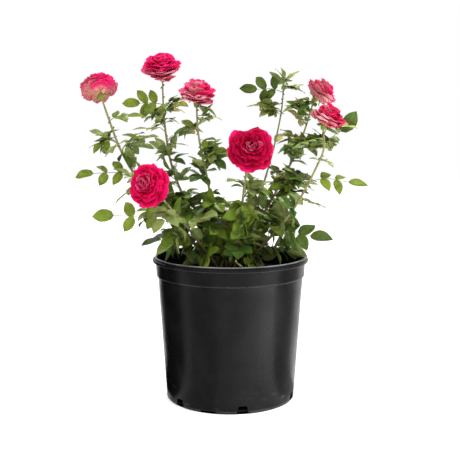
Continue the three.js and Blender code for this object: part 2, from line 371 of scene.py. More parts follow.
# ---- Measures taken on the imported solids

def corners_of(node: str) -> Array:
    """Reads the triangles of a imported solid.

    Args:
        node: The solid's name.

    Returns:
        Their corners, as (triangle, corner, axis).
    """
    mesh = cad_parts[node].data
    mesh.calc_loop_triangles()
    points = np.array([v.co[:] for v in mesh.vertices])
    return points[np.array([t.vertices[:] for t in mesh.loop_triangles])]


def section(triangles: Array, height: float) -> tuple[Array, float] | None:
    """Cuts a solid at a height.

    Args:
        triangles: The solid's triangles.
        height: Where the level cut is.

    Returns:
        The middle of the cut and the length round it, or None where nothing is cut.
    """
    ends = []
    for a, b in ((0, 1), (1, 2), (2, 0)):
        p, q = triangles[:, a], triangles[:, b]
        cut = (p[:, 2] - height) * (q[:, 2] - height) < 0
        share = np.zeros(len(p))
        share[cut] = (height - p[cut, 2]) / (q[cut, 2] - p[cut, 2])
        ends.append((cut, p + (q - p) * share[:, None]))
    total, middle = 0.0, np.zeros(3)
    for i in range(len(triangles)):
        pair = [place[i] for cut, place in ends if cut[i]]
        if len(pair) == 2:
            length = float(np.linalg.norm(pair[0] - pair[1]))
            total += length
            middle += length * (pair[0] + pair[1]) / 2
    return (middle / total, total) if total > 0 else None


CANE_CUTS = 22  # level cuts that a cane is measured with
CUT_MARGIN = 5 * MM  # from each end of a cane to its nearest cut
BURIED = 14 * MM  # how far a cane's foot goes on into the crown
BEYOND = 8 * MM  # how far its tip goes on into the bloom
THINNEST = 1.2 * MM  # least radius that a measure may give
FOOT_SHARE = 0.72  # drawn radius over the measured one at the foot
TIP_SHARE = 0.86  # and at the tip


@dataclass
class Limb:
    """One cane: its centre line and its radius at the foot and at the tip.

    Attributes:
        path: The centre line from inside the crown to the tip.
        foot: Radius at the foot, in metres.
        tip: Radius at the tip, in metres.
    """

    path: Path
    foot: float
    tip: float

    @classmethod
    def measured(cls, node: str) -> "Limb":
        """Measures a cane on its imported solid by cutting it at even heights.

        Args:
            node: The cane's solid.

        Returns:
            The limb, buried a little in the crown at its foot.
        """
        triangles = corners_of(node)
        low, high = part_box(node)
        heights = np.linspace(low.z + CUT_MARGIN, high.z - CUT_MARGIN, CANE_CUTS)
        cuts = [section(triangles, float(z)) for z in heights]
        middles = np.array([cut[0] for cut in cuts if cut])
        rounds = np.array([cut[1] for cut in cuts if cut])
        lean = np.gradient(middles, axis=0)
        level = np.abs(lean[:, 2]) / np.linalg.norm(lean, axis=1)
        radii = rounds / math.pi / (1 + 1 / np.maximum(level, 0.3))
        start = middles[0] - unit(middles[1] - middles[0]) * BURIED
        finish = middles[-1] + unit(middles[-1] - middles[-2]) * BEYOND
        path = Path(np.vstack([start, middles[::3], middles[-1], finish]), 72)
        slope, foot = np.polyfit(np.linspace(0, 1, len(radii)), radii, 1)
        tip = max(slope + foot, THINNEST)
        return cls(path, float(foot) * FOOT_SHARE, float(tip) * TIP_SHARE)

    def radius(self, t: Array | float) -> Array | float:
        """Returns the cane's radius at a share of its length."""
        return self.foot + (self.tip - self.foot) * t


# ---- Finishes

class Shade:
    """A material under construction: one Principled shader and the nodes that feed it."""

    NOISE_ROUGHNESS = 0.55

    def __init__(self, name: str, **fixed: float) -> None:
        """Starts a material.

        Args:
            name: The material's name.
            **fixed: Sockets of the shader that stay one value, by name with _ for a space.
        """
        self.material = bpy.data.materials.new(name)
        self.material.use_nodes = True
        self.tree = self.material.node_tree
        self.shader = self.tree.nodes["Principled BSDF"]
        for socket, value in fixed.items():
            self.shader.inputs[socket.replace("_", " ")].default_value = value

    def paint(self, **colours: Colour) -> None:
        """Sets sockets of the shader to one colour each.

        Args:
            **colours: The colours, by socket name with _ for a space.
        """
        for socket, colour in colours.items():
            self.shader.inputs[socket.replace("_", " ")].default_value = (*colour, 1.0)

    def add(self, kind: str, links: dict[str | int, object] | None = None,
            **settings: object) -> bpy.types.Node:
        """Adds a node.

        Args:
            kind: The node's type without its ShaderNode prefix.
            links: What feeds each input: an output socket, or a plain value.
            **settings: Properties of the node.

        Returns:
            The node.
        """
        node = self.tree.nodes.new("ShaderNode" + kind)
        for key, value in settings.items():
            setattr(node, key, value)
        for key, value in (links or {}).items():
            if isinstance(value, bpy.types.NodeSocket):
                self.tree.links.new(value, node.inputs[key])
            else:
                node.inputs[key].default_value = value
        return node

    def place(self) -> Socket:
        """Returns the Object coordinates."""
        return self.add("TexCoord").outputs["Object"]

    def stretched(self, place: Socket, scale: Triple) -> Socket:
        """Returns coordinates multiplied by a scale along each axis."""
        return self.add("Mapping", {"Vector": place, "Scale": scale}).outputs[0]

    def height(self, place: Socket) -> Socket:
        """Returns the Z of coordinates."""
        return self.add("SeparateXYZ", {0: place}).outputs[2]

    def along(self) -> tuple[Socket, Socket]:
        """Reads the piece's own UV map.

        Returns:
            Its U, across a leaf or petal, and its V, along it.
        """
        uv = self.add("UVMap", uv_map="Along").outputs[0]
        split = self.add("SeparateXYZ", {0: uv})
        return split.outputs[0], split.outputs[1]

    def speckle(self, scale: float, detail: float = 3.0, vector: Socket | None = None) -> Socket:
        """Makes a soft noise.

        Args:
            scale: How fine it is: waves in each unit of its coordinates.
            detail: How many finer waves are laid over it.
            vector: Its coordinates; the Object coordinates where none are given.

        Returns:
            The noise, between 0 and 1.
        """
        links = {"Vector": self.place() if vector is None else vector, "Scale": scale,
                 "Detail": detail, "Roughness": self.NOISE_ROUGHNESS}
        return self.add("TexNoise", links).outputs["Fac"]

    def ramp(self, value: Socket, *stops: tuple[float, Colour]) -> Socket:
        """Looks a colour up along a ramp.

        Args:
            value: The position to look up.
            *stops: The ramp's colours, each after its position.

        Returns:
            The colour.
        """
        node = self.add("ValToRGB", {0: value})
        elements = node.color_ramp.elements
        while len(elements) < len(stops):
            elements.new(0.5)
        for element, (position, colour) in zip(elements, stops):
            element.position = position
            element.color = (*colour, 1.0)
        return node.outputs[0]

    def math(self, operation: str, a: Value, b: Value = 0.0) -> Socket:
        """Returns the result of a sum on one or two values."""
        return self.add("Math", {0: a, 1: b}, operation=operation).outputs[0]

    def spread(self, value: Socket, low: float, high: float, to_low: float = 0.0,
               to_high: float = 1.0) -> Socket:
        """Maps a value from one range to another and clamps it.

        Args:
            value: The value to map.
            low: The value that gives to_low.
            high: The value that gives to_high.
            to_low: Result at low.
            to_high: Result at high.

        Returns:
            The mapped value.
        """
        links = {0: value, 1: low, 2: high, 3: to_low, 4: to_high}
        return self.add("MapRange", links).outputs[0]

    def blend(self, share: Value, first: Paint, second: Paint) -> Socket:
        """Blends two colours.

        Args:
            share: How much of the second colour shows, from 0 to 1.
            first: The colour at 0.
            second: The colour at 1.

        Returns:
            The blended colour.
        """
        colours = [(*c, 1.0) if isinstance(c, tuple) else c for c in (first, second)]
        node = self.add("Mix", {0: share, 6: colours[0], 7: colours[1]}, data_type="RGBA")
        return node.outputs[2]

    def colour(self, value: Socket) -> None:
        """Feeds the shader's base colour."""
        self.tree.links.new(value, self.shader.inputs["Base Color"])

    def roughness(self, value: Socket) -> None:
        """Feeds the shader's roughness."""
        self.tree.links.new(value, self.shader.inputs["Roughness"])

    def relief(self, height: Socket, distance: float, strength: float) -> None:
        """Raises the surface by a pattern.

        Args:
            height: The pattern, highest at 1.
            distance: How far 1 stands above 0, in metres.
            strength: How much of the relief shows, from 0 to 1.
        """
        links = {"Height": height, "Distance": distance, "Strength": strength}
        bump = self.add("Bump", links)
        self.tree.links.new(bump.outputs[0], self.shader.inputs["Normal"])


@dataclass(frozen=True)
class HighlightBand:
    """A level band along an edge of the plastic, painted paler as a highlight.

    Attributes:
        level: Height of the edge above the ground, in metres.
        start: Where the band starts, above the edge.
        full: Where it is first at its palest.
        fade: Where it is last at its palest.
        end: Where it ends.
        share: How much it shows.
    """

    level: float
    start: float
    full: float
    fade: float
    end: float
    share: float

    def mask(self, shade: Shade, height: Socket) -> Socket:
        """Finds how much the band shows.

        Args:
            shade: The material that it belongs to.
            height: Height above the ground.

        Returns:
            Its share inside it and 0 outside it.
        """
        rise = shade.spread(height, self.level + self.start, self.level + self.full)
        fall = shade.spread(height, self.level + self.end, self.level + self.fade, 0.0, self.share)
        return shade.math("MULTIPLY", rise, fall)


@dataclass(frozen=True)
class PotPlastic:
    """Black moulded plastic: satin, a little dusty and scuffed at the foot, with highlights painted
    paler along its rim and edges.

    Attributes:
        black: Colour of the clean plastic.
        dusty: Its colour under dust.
        scuffed: Its colour where the foot is scuffed.
        painted_highlight: Its paler colour where highlights are painted along the rim and edges.
        shine: Its specular level.
        sheen: Its mean roughness.
        crest: Height of the rim's crest above the ground, in metres.
        highlight_bands: Lines of painted highlight below the crest.
        scuff_top: Height up to which the foot is scuffed.
        scuff_share: How much the scuffs show.
        dust_share: How much the dust shows.
    """

    black: Colour = (0.0035, 0.0035, 0.0038)
    dusty: Colour = (0.020, 0.020, 0.021)
    scuffed: Colour = (0.11, 0.11, 0.11)
    painted_highlight: Colour = (0.22, 0.22, 0.22)
    shine: float = 0.109
    sheen: float = 0.30
    crest: float = 0.249
    # Painted highlight lines: along the step below the band, the ledge at the foot and the flange under
    # the rim.
    highlight_bands: tuple[HighlightBand, ...] = (HighlightBand(0.214, 0.0002, 0.0010, 0.0026, 0.0034, 0.12),
                                   HighlightBand(0.0, 0.0014, 0.0022, 0.0048, 0.0056, 0.14),
                                   HighlightBand(0.249, -0.0092, -0.0088, -0.0082, -0.0076, 0.15))
    scuff_top: float = 0.045
    scuff_share: float = 0.35
    dust_share: float = 0.35

    def material(self) -> Material:
        """Mixes the plastic from broad blots, fine upright streaks, its scuffs and the highlights
        painted along its edges.

        Returns:
            The material.
        """
        shade = Shade("pot_plastic", Specular_IOR_Level=self.shine)
        place = shade.place()
        height = shade.height(place)
        streak = shade.speckle(1.0, 4, shade.stretched(place, (90, 90, 4)))
        blot = shade.speckle(26, 5, place)
        foot = shade.spread(height, self.scuff_top, 0.0)
        scuff = shade.speckle(1.0, 6, shade.stretched(place, (40, 40, 160)))
        wear = shade.math("MULTIPLY", shade.spread(scuff, 0.60, 0.70),
                          shade.math("MULTIPLY", foot, self.scuff_share))
        dust = shade.spread(blot, 0.45, 0.85, 0.0, self.dust_share)
        tone = shade.blend(wear, shade.blend(dust, self.black, self.dusty), self.scuffed)
        # Painted highlight: the rim's crest and the lines below it are painted paler, in patches, where
        # highlights fall.
        edges = shade.spread(height, self.crest - 0.0020, self.crest - 0.0006)
        for band in self.highlight_bands:
            edges = shade.math("MAXIMUM", edges, band.mask(shade, height))
        painted_highlight = shade.math("MULTIPLY", edges, shade.spread(blot, 0.30, 0.62, 0.35, 1.0))
        shade.colour(shade.blend(painted_highlight, tone, self.painted_highlight))
        gloss = shade.spread(blot, 0.3, 0.8, self.sheen - 0.05, self.sheen + 0.1)
        shade.roughness(shade.math("ADD", gloss, shade.spread(streak, 0.3, 0.7, -0.04, 0.04)))
        grain = shade.math("MULTIPLY", shade.speckle(900, 2, place), 0.25)
        shade.relief(shade.math("ADD", grain, streak), 0.00025, 0.35)
        return shade.material


@dataclass(frozen=True)
class PottingMix:
    """Damp dark potting mix, or the bits in it.

    Attributes:
        name: The material's name.
        dark: Its darkest colour.
        light: Its lightest colour.
    """

    name: str = "potting_mix"
    dark: Colour = (0.010, 0.007, 0.005)
    light: Colour = (0.060, 0.040, 0.024)

    def material(self) -> Material:
        """Mixes the crumbs from one fine noise.

        Returns:
            The material.
        """
        shade = Shade(self.name, Roughness=0.9, Specular_IOR_Level=0.25)
        crumb = shade.speckle(260, 8)
        shade.colour(shade.ramp(crumb, (0.35, self.dark), (0.68, self.light)))
        shade.relief(crumb, 0.002, 0.9)
        return shade.material


@dataclass(frozen=True)
class CaneBark:
    """Green bark that turns brown and cracked towards the ground.

    Attributes:
        name: The material's name.
        young: Colour of the young bark.
        old: Colour of the old bark.
        turn_low: Height below which the bark is old, in metres.
        turn_high: Height above which it is young.
        flushed: Colour of its sunlit, reddish patches.
        cracked: Colour of its cracks.
    """

    name: str
    young: Colour
    old: Colour
    turn_low: float = 0.215
    turn_high: float = 0.37
    flushed: Colour = (0.20, 0.085, 0.04)
    cracked: Colour = (0.06, 0.055, 0.025)

    def material(self) -> Material:
        """Mixes the bark by height, with patches, a flush and upright cracks.

        Returns:
            The material.
        """
        shade = Shade(self.name, Roughness=0.5, Specular_IOR_Level=0.4)
        place = shade.place()
        patch = shade.speckle(70, 5, place)
        streak = shade.speckle(1.0, 5, shade.stretched(place, (700, 700, 90)))
        age = shade.spread(shade.height(place), self.turn_high, self.turn_low)
        age = shade.math("ADD", age, shade.spread(patch, 0.3, 0.7, -0.3, 0.3))
        between = tuple((a + b) / 2 for a, b in zip(self.young, self.old))
        bark = shade.ramp(age, (0.0, self.young), (0.45, between), (0.95, self.old))
        flush = shade.spread(shade.speckle(38, 3, place), 0.56, 0.7, 0.0, 0.40)
        bark = shade.blend(flush, bark, self.flushed)
        shade.colour(shade.blend(shade.spread(streak, 0.3, 0.75, 0.0, 0.35), bark, self.cracked))
        shade.relief(streak, 0.0005, 0.8)
        return shade.material


@dataclass(frozen=True)
class LeafSkin:
    """One face of a leaflet, with its midrib and side veins.

    Attributes:
        name: The material's name.
        blade: Colour of the blade.
        vein: Colour of the midrib and the side veins.
        edge: Colour of the margin.
        gloss: Its mean roughness.
        vein_share: How much the veins show.
        edge_share: How much the margin shows.
        dark_patch: Its darkest patches over the blade's colour.
        pale_patch: Its palest patches over the blade's colour.
    """

    name: str
    blade: Colour
    vein: Colour
    edge: Colour
    gloss: float = 0.42
    vein_share: float = 0.45
    edge_share: float = 0.0
    dark_patch: float = 0.52
    pale_patch: float = 1.50

    def material(self) -> Material:
        """Draws the veins over the leaflet's UV map and mottles the blade between them.

        Returns:
            The material.
        """
        shade = Shade(self.name, Specular_IOR_Level=0.16, Subsurface_Weight=0.12,
                      Subsurface_Scale=0.002)
        across, along = shade.along()
        off_rib = shade.math("ABSOLUTE", shade.math("SUBTRACT", across, 0.5))
        rib = shade.spread(off_rib, 0.045, 0.012)
        slant = shade.math("ADD", shade.math("MULTIPLY", along, 9.0),
                           shade.math("MULTIPLY", off_rib, -7.0))
        ridge = shade.math("ABSOLUTE", shade.math("SUBTRACT", shade.math("FRACT", slant), 0.5))
        side_vein = shade.math("MULTIPLY", shade.spread(ridge, 0.10, 0.02), 0.55)
        veins = shade.math("MAXIMUM", rib, side_vein)
        patch = shade.speckle(55, 3)
        mottle = shade.speckle(420, 3)
        dark = tuple(self.dark_patch * c for c in self.blade)
        pale = tuple(min(1.0, self.pale_patch * c) for c in self.blade)
        tone = shade.ramp(patch, (0.32, dark), (0.52, self.blade), (0.72, pale))
        tone = shade.blend(shade.spread(mottle, 0.4, 0.7, 0.0, 0.22), tone, dark)
        tone = shade.blend(shade.math("MULTIPLY", veins, self.vein_share), tone, self.vein)
        if self.edge_share > 0:
            margin = shade.spread(off_rib, 0.38, 0.5, 0.0, self.edge_share)
            tone = shade.blend(margin, tone, self.edge)
        shade.colour(tone)
        shade.roughness(shade.spread(patch, 0.3, 0.7, self.gloss - 0.06, self.gloss + 0.08))
        quilt = shade.math("SUBTRACT", shade.math("MULTIPLY", mottle, 0.3), veins)
        shade.relief(quilt, 0.0006, 0.6)
        return shade.material


@dataclass(frozen=True)
class PetalSkin:
    """One face of a petal, coloured from its claw to its rim along fine veins, with painted shade where
    its claw is dark.

    Attributes:
        name: The material's name.
        claw: Colour at the foot of the petal; where it is darker than the blade it is painted shade deep
            between the petals.
        blade: Colour of its middle.
        rim: Colour of its rim.
        vein: How much the veins show.
        vein_depth: Colour of the veins over the blade's colour.
    """

    name: str
    claw: Colour
    blade: Colour
    rim: Colour
    vein: float = 0.35
    vein_depth: float = 0.55

    def material(self) -> Material:
        """Shades the petal along its UV map and lays veins and a wash over it.

        Returns:
            The material.
        """
        shade = Shade(self.name, Roughness=0.6, Specular_IOR_Level=0.03, Subsurface_Weight=0.15,
                      Subsurface_Scale=0.003)
        across, along = shade.along()
        fan = shade.add("CombineXYZ", {0: shade.math("MULTIPLY", across, 16.0),
                                       1: shade.math("MULTIPLY", along, 1.2)}).outputs[0]
        veins = shade.speckle(1.6, 4, fan)
        wash = shade.speckle(70, 3)
        reach = shade.math("ADD", along, shade.spread(veins, 0.3, 0.7, -0.14, 0.14))
        # Painted shade: a dark claw colour reaches up to 0.62 of the length, darkening the deep parts
        # between the petals.
        tone = shade.ramp(reach, (0.22, self.claw), (0.62, self.blade), (0.84, self.blade),
                          (0.98, self.rim))
        off_middle = shade.math("ABSOLUTE", shade.math("SUBTRACT", across, 0.5))
        tone = shade.blend(shade.spread(off_middle, 0.36, 0.5, 0.0, 0.4), tone, self.rim)
        deep = tuple(self.vein_depth * c for c in self.blade)
        tone = shade.blend(shade.spread(veins, 0.5, 0.72, 0.0, self.vein), tone, deep)
        tone = shade.blend(shade.spread(wash, 0.5, 0.75, 0.0, 0.2), tone, self.rim)
        shade.colour(tone)
        shade.relief(veins, 0.0006, 0.5)
        return shade.material


# ---- Straight shapes that are bent into place

def tube_stamp(sides: int, rings: int) -> Stamp:
    """Makes a capped tube of radius 1 about +Z, from z = 0 to z = 1.

    Args:
        sides: Faces round it.
        rings: Faces along it.

    Returns:
        The tube as a stamp.
    """
    shape = bmesh.new()
    bmesh.ops.create_circle(shape, segments=sides, radius=1.0)
    edges = list(shape.edges)
    for _ in range(rings):
        grown = bmesh.ops.extrude_edge_only(shape, edges=edges)["geom"]
        fresh = {g for g in grown if isinstance(g, bmesh.types.BMVert)}
        bmesh.ops.translate(shape, vec=(0, 0, 1 / rings), verts=list(fresh))
        edges = [e for e in shape.edges if fresh.issuperset(e.verts)]
    bmesh.ops.holes_fill(shape, edges=[e for e in shape.edges if e.is_boundary], sides=sides)
    bmesh.ops.recalc_face_normals(shape, faces=shape.faces)
    return Stamp.of(shape)


def thorn_stamp() -> Stamp:
    """Makes a hooked prickle.

    Returns:
        A flattened cone on the XY plane, 1 high, with its tip bent towards -X.
    """
    shape = bmesh.new()
    bmesh.ops.create_cone(shape, cap_ends=True, segments=6, radius1=0.42, radius2=0.16, depth=0.55)
    bmesh.ops.translate(shape, vec=(0, 0, 0.275), verts=shape.verts)
    top = [f for f in shape.faces if f.calc_center_median().z > 0.5]
    tip = bmesh.ops.poke(shape, faces=top)["verts"]
    bmesh.ops.translate(shape, vec=(-0.42, 0, 0.45), verts=tip)
    bmesh.ops.scale(shape, vec=(1.5, 0.62, 1.0), verts=shape.verts)
    return Stamp.of(shape)


def bud_stamp() -> Stamp:
    """Makes a small bud.

    Returns:
        The bud, along +Z.
    """
    shape = bmesh.new()
    bmesh.ops.create_icosphere(shape, subdivisions=1, radius=0.5)
    bmesh.ops.scale(shape, vec=(0.8, 0.8, 1.5), verts=shape.verts)
    bmesh.ops.translate(shape, vec=(0, 0, 0.45), verts=shape.verts)
    return Stamp.of(shape)


LEAFLET_COLUMNS = 4  # faces across a leaflet
LEAFLET_ROWS = 9  # faces along it
TOOTH = 0.030  # how far a tooth stands out, over half the width


def leaflet_stamp(breadth: float, fold: float, arch: float, ripple: float) -> Stamp:
    """Makes one ovate, toothed leaflet, 1 long from its stalk at the origin along +Y.

    Args:
        breadth: Widest width over length.
        fold: How steeply each half rises from the midrib, in radians.
        arch: How far the leaflet bends down along its length, in radians.
        ripple: Height of the waves along its margin.

    Returns:
        The leaflet, with X across in U and Y along in V.
    """
    shape = bmesh.new()
    shape.loops.layers.uv.new("Along")
    bmesh.ops.create_grid(shape, x_segments=LEAFLET_COLUMNS, y_segments=LEAFLET_ROWS, size=1.0,
                          calc_uvs=True)
    bend = max(arch, 1e-4)
    for vert in shape.verts:
        u, t = vert.co.x, (vert.co.y + 1) / 2
        width = math.sin(math.pi * t ** 0.86) ** (0.60 + 0.42 * t ** 3) if 0 < t < 1 else 0.0
        row = round(t * LEAFLET_ROWS)
        tooth = TOOTH if abs(u) > 0.9 and 0 < row < LEAFLET_ROWS and row % 2 else 0.0
        x = 0.5 * breadth * u * width * (1 + tooth)
        y = t - 0.35 * tooth + 0.02 * abs(u) * math.sin(math.pi * t)
        z = abs(x) * math.tan(fold) + ripple * math.sin(9 * t + 2 * u) * abs(u)
        vert.co = (x, math.sin(bend * y) / bend + z * math.sin(bend * y),
                   z * math.cos(bend * y) - (1 - math.cos(bend * y)) / bend)
    bmesh.ops.remove_doubles(shape, verts=shape.verts, dist=1e-5)
    return Stamp.of(shape)


# ---- The pot

def spun(profile: list[Pair], steps: int, name: str) -> bpy.types.Mesh:
    """Spins a profile of (radius, height) about the Z axis.

    Args:
        profile: Points in metres that start and end on the axis.
        steps: Faces round the axis.
        name: The mesh's name.

    Returns:
        The closed mesh, facing outwards.
    """
    shape = bmesh.new()
    verts = [shape.verts.new((radius, 0.0, height)) for radius, height in profile]
    edges = [shape.edges.new(pair) for pair in zip(verts[:-1], verts[1:])]
    bmesh.ops.spin(shape, geom=verts + edges, cent=(0, 0, 0), axis=(0, 0, 1), angle=2 * math.pi,
                   steps=steps, use_merge=True, use_duplicate=False)
    bmesh.ops.remove_doubles(shape, verts=shape.verts, dist=1e-6)
    bmesh.ops.recalc_face_normals(shape, faces=shape.faces)
    return mesh_of(shape, name)


def arc(middle: Pair, radius: float, start: float, stop: float,
        steps: int) -> list[Pair]:
    """Returns points of a round in a profile.

    Args:
        middle: The round's centre as (radius, height).
        radius: The round's own radius.
        start: Where it starts, in degrees.
        stop: Where it stops, in degrees.
        steps: How many lengths it has.

    Returns:
        The points from start to stop.
    """
    turns = np.radians(np.linspace(start, stop, steps + 1))
    return [(middle[0] + radius * math.cos(t), middle[1] + radius * math.sin(t)) for t in turns]


@dataclass(frozen=True)
class FootCut:
    """One kind of opening, cut again and again through the foot of the wall.

    Attributes:
        count: How many there are, spread evenly round the foot.
        first: Azimuth of the first one, in degrees from +X.
        width: Its width at the ground, in millimetres.
        height: Its height.
        narrowing: Its width at the top over its width at the ground.
    """

    count: int
    first: float
    width: float
    height: float
    narrowing: float


@dataclass
class Pot:
    """The nursery pot: a tapered shell with a banded, rolled rim and drain notches at its foot.

    Attributes:
        rim: Radius of the rim's outside, in millimetres as every length here.
        height: Height of the rim's top above the ground.
        wall: Thickness of the wall.
        bead: Radius of the round along the rim's top.
        band_inset: How far the band below the rim is inside the rim's outside.
        step_drop: How far the step at the band's foot is below the rim's top.
        shoulder_inset: How far the wall just below the step is inside the rim's outside.
        base_inset: How far the foot is inside the rim's outside.
        floor: Thickness of the floor.
        cuts: The drain notches and the low arches between them.
        cut_deep: How deep a cutter is.
        cut_inner: How far it reaches in from the foot's outside.
        steps: Faces round the wall.
        crease: Angle in degrees from which an edge stays sharp.
    """

    rim: float = field(init=False)
    height: float = field(init=False)
    wall: float = 1.7
    bead: float = 1.7
    band_inset: float = 5.2
    step_drop: float = 35.0
    shoulder_inset: float = 9.1
    base_inset: float = 23.1
    floor: float = 4.0
    cuts: tuple[FootCut, ...] = (FootCut(6, -79.5, 22.0, 14.0, 0.62),
                                 FootCut(3, -109.5, 34.0, 4.6, 0.80))
    cut_deep: float = 20.0
    cut_inner: float = 10.0
    steps: int = 180
    crease: float = 38.0

    def __post_init__(self) -> None:
        """Takes the rim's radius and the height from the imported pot."""
        low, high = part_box("pot")
        self.rim = (high.x - low.x) / 2 / MM
        self.height = high.z / MM

    def profile(self) -> list[Pair]:
        """Draws half a section through the shell.

        Returns:
            Its points in metres, from the underside up the outside and down to the inner floor.
        """
        rim, top, wall = self.rim, self.height, self.wall
        base, shoulder = rim - self.base_inset, rim - self.shoulder_inset
        band, step = rim - self.band_inset, top - self.step_drop
        inner_base = base - wall
        outside = [(0, 0), (base - 2.4, 0), *arc((base - 2.0, 2.0), 2.0, -80, -5, 4),
                   (base + 0.35, 3.0), (base + 0.35, 4.6), (base + 0.1, 5.6)]
        outside += [(base + 0.1 + (shoulder - base) * t, 5.6 + (step - 7.0) * t)
                    for t in np.linspace(0.02, 1, 14)]
        outside += [*arc((shoulder + 1.6, step + 0.2), 1.2, 200, 110, 3),
                    *arc((band - 1.9, step + 2.6), 0.9, -70, -5, 3)]
        outside += [(band - 0.9, step + 6), (band - 0.15, top - 11), (band, top - 9.6)]
        flange = [(rim - 1.6, top - 9.0), *arc((rim - 0.9, top - 8.0), 0.9, -80, 10, 4),
                  (rim - 0.15, top - 5.8), *arc((rim - 1.0, top - 5.2), 0.9, 10, 80, 3),
                  (rim - 3.4, top - 3.6)]
        crest = arc((rim - 5.4, top - self.bead), self.bead, -20, 180, 9)
        inside = [(rim - 5.4 - self.bead, top - 5), (band - 0.9 - wall, step + 6),
                  (band - 1.1 - wall, step + 3), (shoulder - wall, step)]
        inside += [(inner_base + (shoulder - base) * t, self.floor + 3 + (step - self.floor - 3) * t)
                   for t in np.linspace(0.9, 0, 8)]
        inside += [(inner_base - 1.5, self.floor + 0.6), (inner_base - 4, self.floor), (0, self.floor)]
        return [(r * MM, z * MM) for r, z in outside + flange + crest + inside]

    def cutters(self) -> Piece:
        """Makes the wedges that the notches and arches are cut with.

        Returns:
            All wedges as one object.
        """
        shape = bmesh.new()
        middle = self.rim - self.base_inset - self.cut_inner + self.cut_deep / 2
        for cut in self.cuts:
            for i in range(cut.count):
                block = bmesh.ops.create_cube(shape, size=1.0)["verts"]
                bmesh.ops.scale(shape, verts=block,
                                vec=(self.cut_deep * MM, cut.width * MM, (cut.height + 2) * MM))
                bmesh.ops.translate(shape, verts=block, vec=(middle * MM, 0, (cut.height / 2 - 1) * MM))
                bmesh.ops.scale(shape, verts=[v for v in block if v.co.z > 0],
                                vec=(1, cut.narrowing, 1))
                azimuth = math.radians(cut.first + i * 360 / cut.count)
                bmesh.ops.rotate(shape, cent=(0, 0, 0), verts=block,
                                 matrix=Matrix.Rotation(azimuth, 3, "Z"))
        return link(mesh_of(shape, "notch_cutters"), [])

    def build(self) -> list[Piece]:
        """Builds the pot, cuts its notches and dresses it.

        Returns:
            The finished pot.
        """
        shell = link(spun(self.profile(), self.steps, "pot_shell"), [])
        cutters = self.cutters()
        cut = shell.modifiers.new("notches", "BOOLEAN")
        cut.operation = "DIFFERENCE"
        cut.object = cutters
        cut.solver = "EXACT"
        graph = bpy.context.evaluated_depsgraph_get()
        mesh = bpy.data.meshes.new_from_object(shell.evaluated_get(graph))
        mesh.name = "nursery_pot"
        for used in (shell, cutters):
            bpy.data.objects.remove(used)
        smooth(mesh)
        mesh.set_sharp_from_angle(angle=math.radians(self.crease))
        mesh.materials.clear()
        pot = link(mesh, [PotPlastic().material()])
        settle(pot, ["pot"])
        return [pot]


# ---- Soil and crown

@dataclass(frozen=True)
class LooseBit:
    """One kind of loose bit on the soil.

    Attributes:
        finish: Its finish.
        count: How many of them lie on the soil.
        sizes: Their smallest and largest radius, in millimetres.
        flat: Their thickness over their length.
    """

    finish: PottingMix
    count: int
    sizes: Pair
    flat: float


@dataclass
class Ground:
    """The potting mix in the pot, with its crumbs, white grains and bark chips.

    Attributes:
        kinds: The loose bits that lie on it.
        fall: How far its edge is below its middle, in metres.
        dome: How its height falls towards the edge: 1 for a plain cone.
        seed: Seed of its chance.
    """

    kinds: tuple[LooseBit, ...] = (
        LooseBit(PottingMix("soil_crumb"), 1500, (0.9, 2.6), 0.7),
        LooseBit(PottingMix("white_grain", (0.34, 0.33, 0.30), (0.62, 0.61, 0.57)), 70, (1.0, 2.1), 0.8),
        LooseBit(PottingMix("bark_chip", (0.035, 0.018, 0.009), (0.13, 0.07, 0.035)), 160, (2.2, 4.6),
                 0.3))
    fall: float = 5 * MM
    dome: float = 0.8
    seed: int = 11

    def surface(self, x: float, y: float) -> float:
        """Finds how uneven the soil is at a place.

        Args:
            x: The place's X.
            y: The place's Y.

        Returns:
            How far the soil stands above its plain dome, in metres.
        """
        here = Vector((x, y, 0.0))
        return (noise.noise(here * 28) * 2.4 + noise.noise(here * 90) * 1.1
                + noise.noise(here * 260) * 0.5) * MM

    def build(self) -> list[Piece]:
        """Builds the body of soil and the loose bits on it.

        Returns:
            The two pieces.
        """
        low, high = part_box("soil")
        radius = (high.x - low.x) / 2
        edge = high.z - self.fall
        rings = [(radius * r, edge + self.fall * (1 - r) ** self.dome) for r in np.linspace(1, 0, 34)]
        profile = [(0, low.z), (radius * 0.60, low.z), (radius * 0.72, low.z + 22 * MM),
                   (radius * 0.975, edge - 30 * MM)] + rings
        mesh = spun(profile, 144, "potting_mix")
        for vert in mesh.vertices:
            if vert.co.z > edge - 1 * MM:
                vert.co.z += self.surface(vert.co.x, vert.co.y)
        smooth(mesh)
        soil = link(mesh, [PottingMix().material()])
        settle(soil, ["soil"])
        return [soil, self.scatter(radius - 4 * MM, edge)]

    def scatter(self, radius: float, edge: float) -> Piece:
        """Scatters crumbs, chips and grains over the soil.

        Args:
            radius: How far from the middle they lie.
            edge: Height of the soil's edge.

        Returns:
            The loose bits as one piece.
        """
        rng = np.random.default_rng(self.seed)
        shape = bmesh.new()
        bmesh.ops.create_icosphere(shape, subdivisions=1, radius=1.0)
        pebble = Stamp.of(shape)
        heap = Heap("soil_bits")
        for slot, kind in enumerate(self.kinds):
            for _ in range(kind.count):
                far = radius * math.sqrt(rng.random())
                turn = rng.uniform(0, 2 * math.pi)
                x, y = far * math.cos(turn), far * math.sin(turn)
                z = edge + self.fall * (1 - far / radius) ** self.dome + self.surface(x, y)
                size = rng.uniform(*kind.sizes) * MM
                axes = np.stack([any_direction(rng) for _ in range(3)])
                axes[1] = square_to(axes[1], axes[0])
                axes[2] = np.cross(axes[0], axes[1])
                axes *= np.array([[size], [size * rng.uniform(0.6, 1.0)], [size * kind.flat]])
                rough = pebble.points * rng.uniform(0.75, 1.2, (len(pebble.points), 1))
                heap.add(pebble, np.array([x, y, z]) + rough @ axes, slot)
        bits = heap.build([kind.finish.material() for kind in self.kinds])
        settle(bits, [])
        return bits


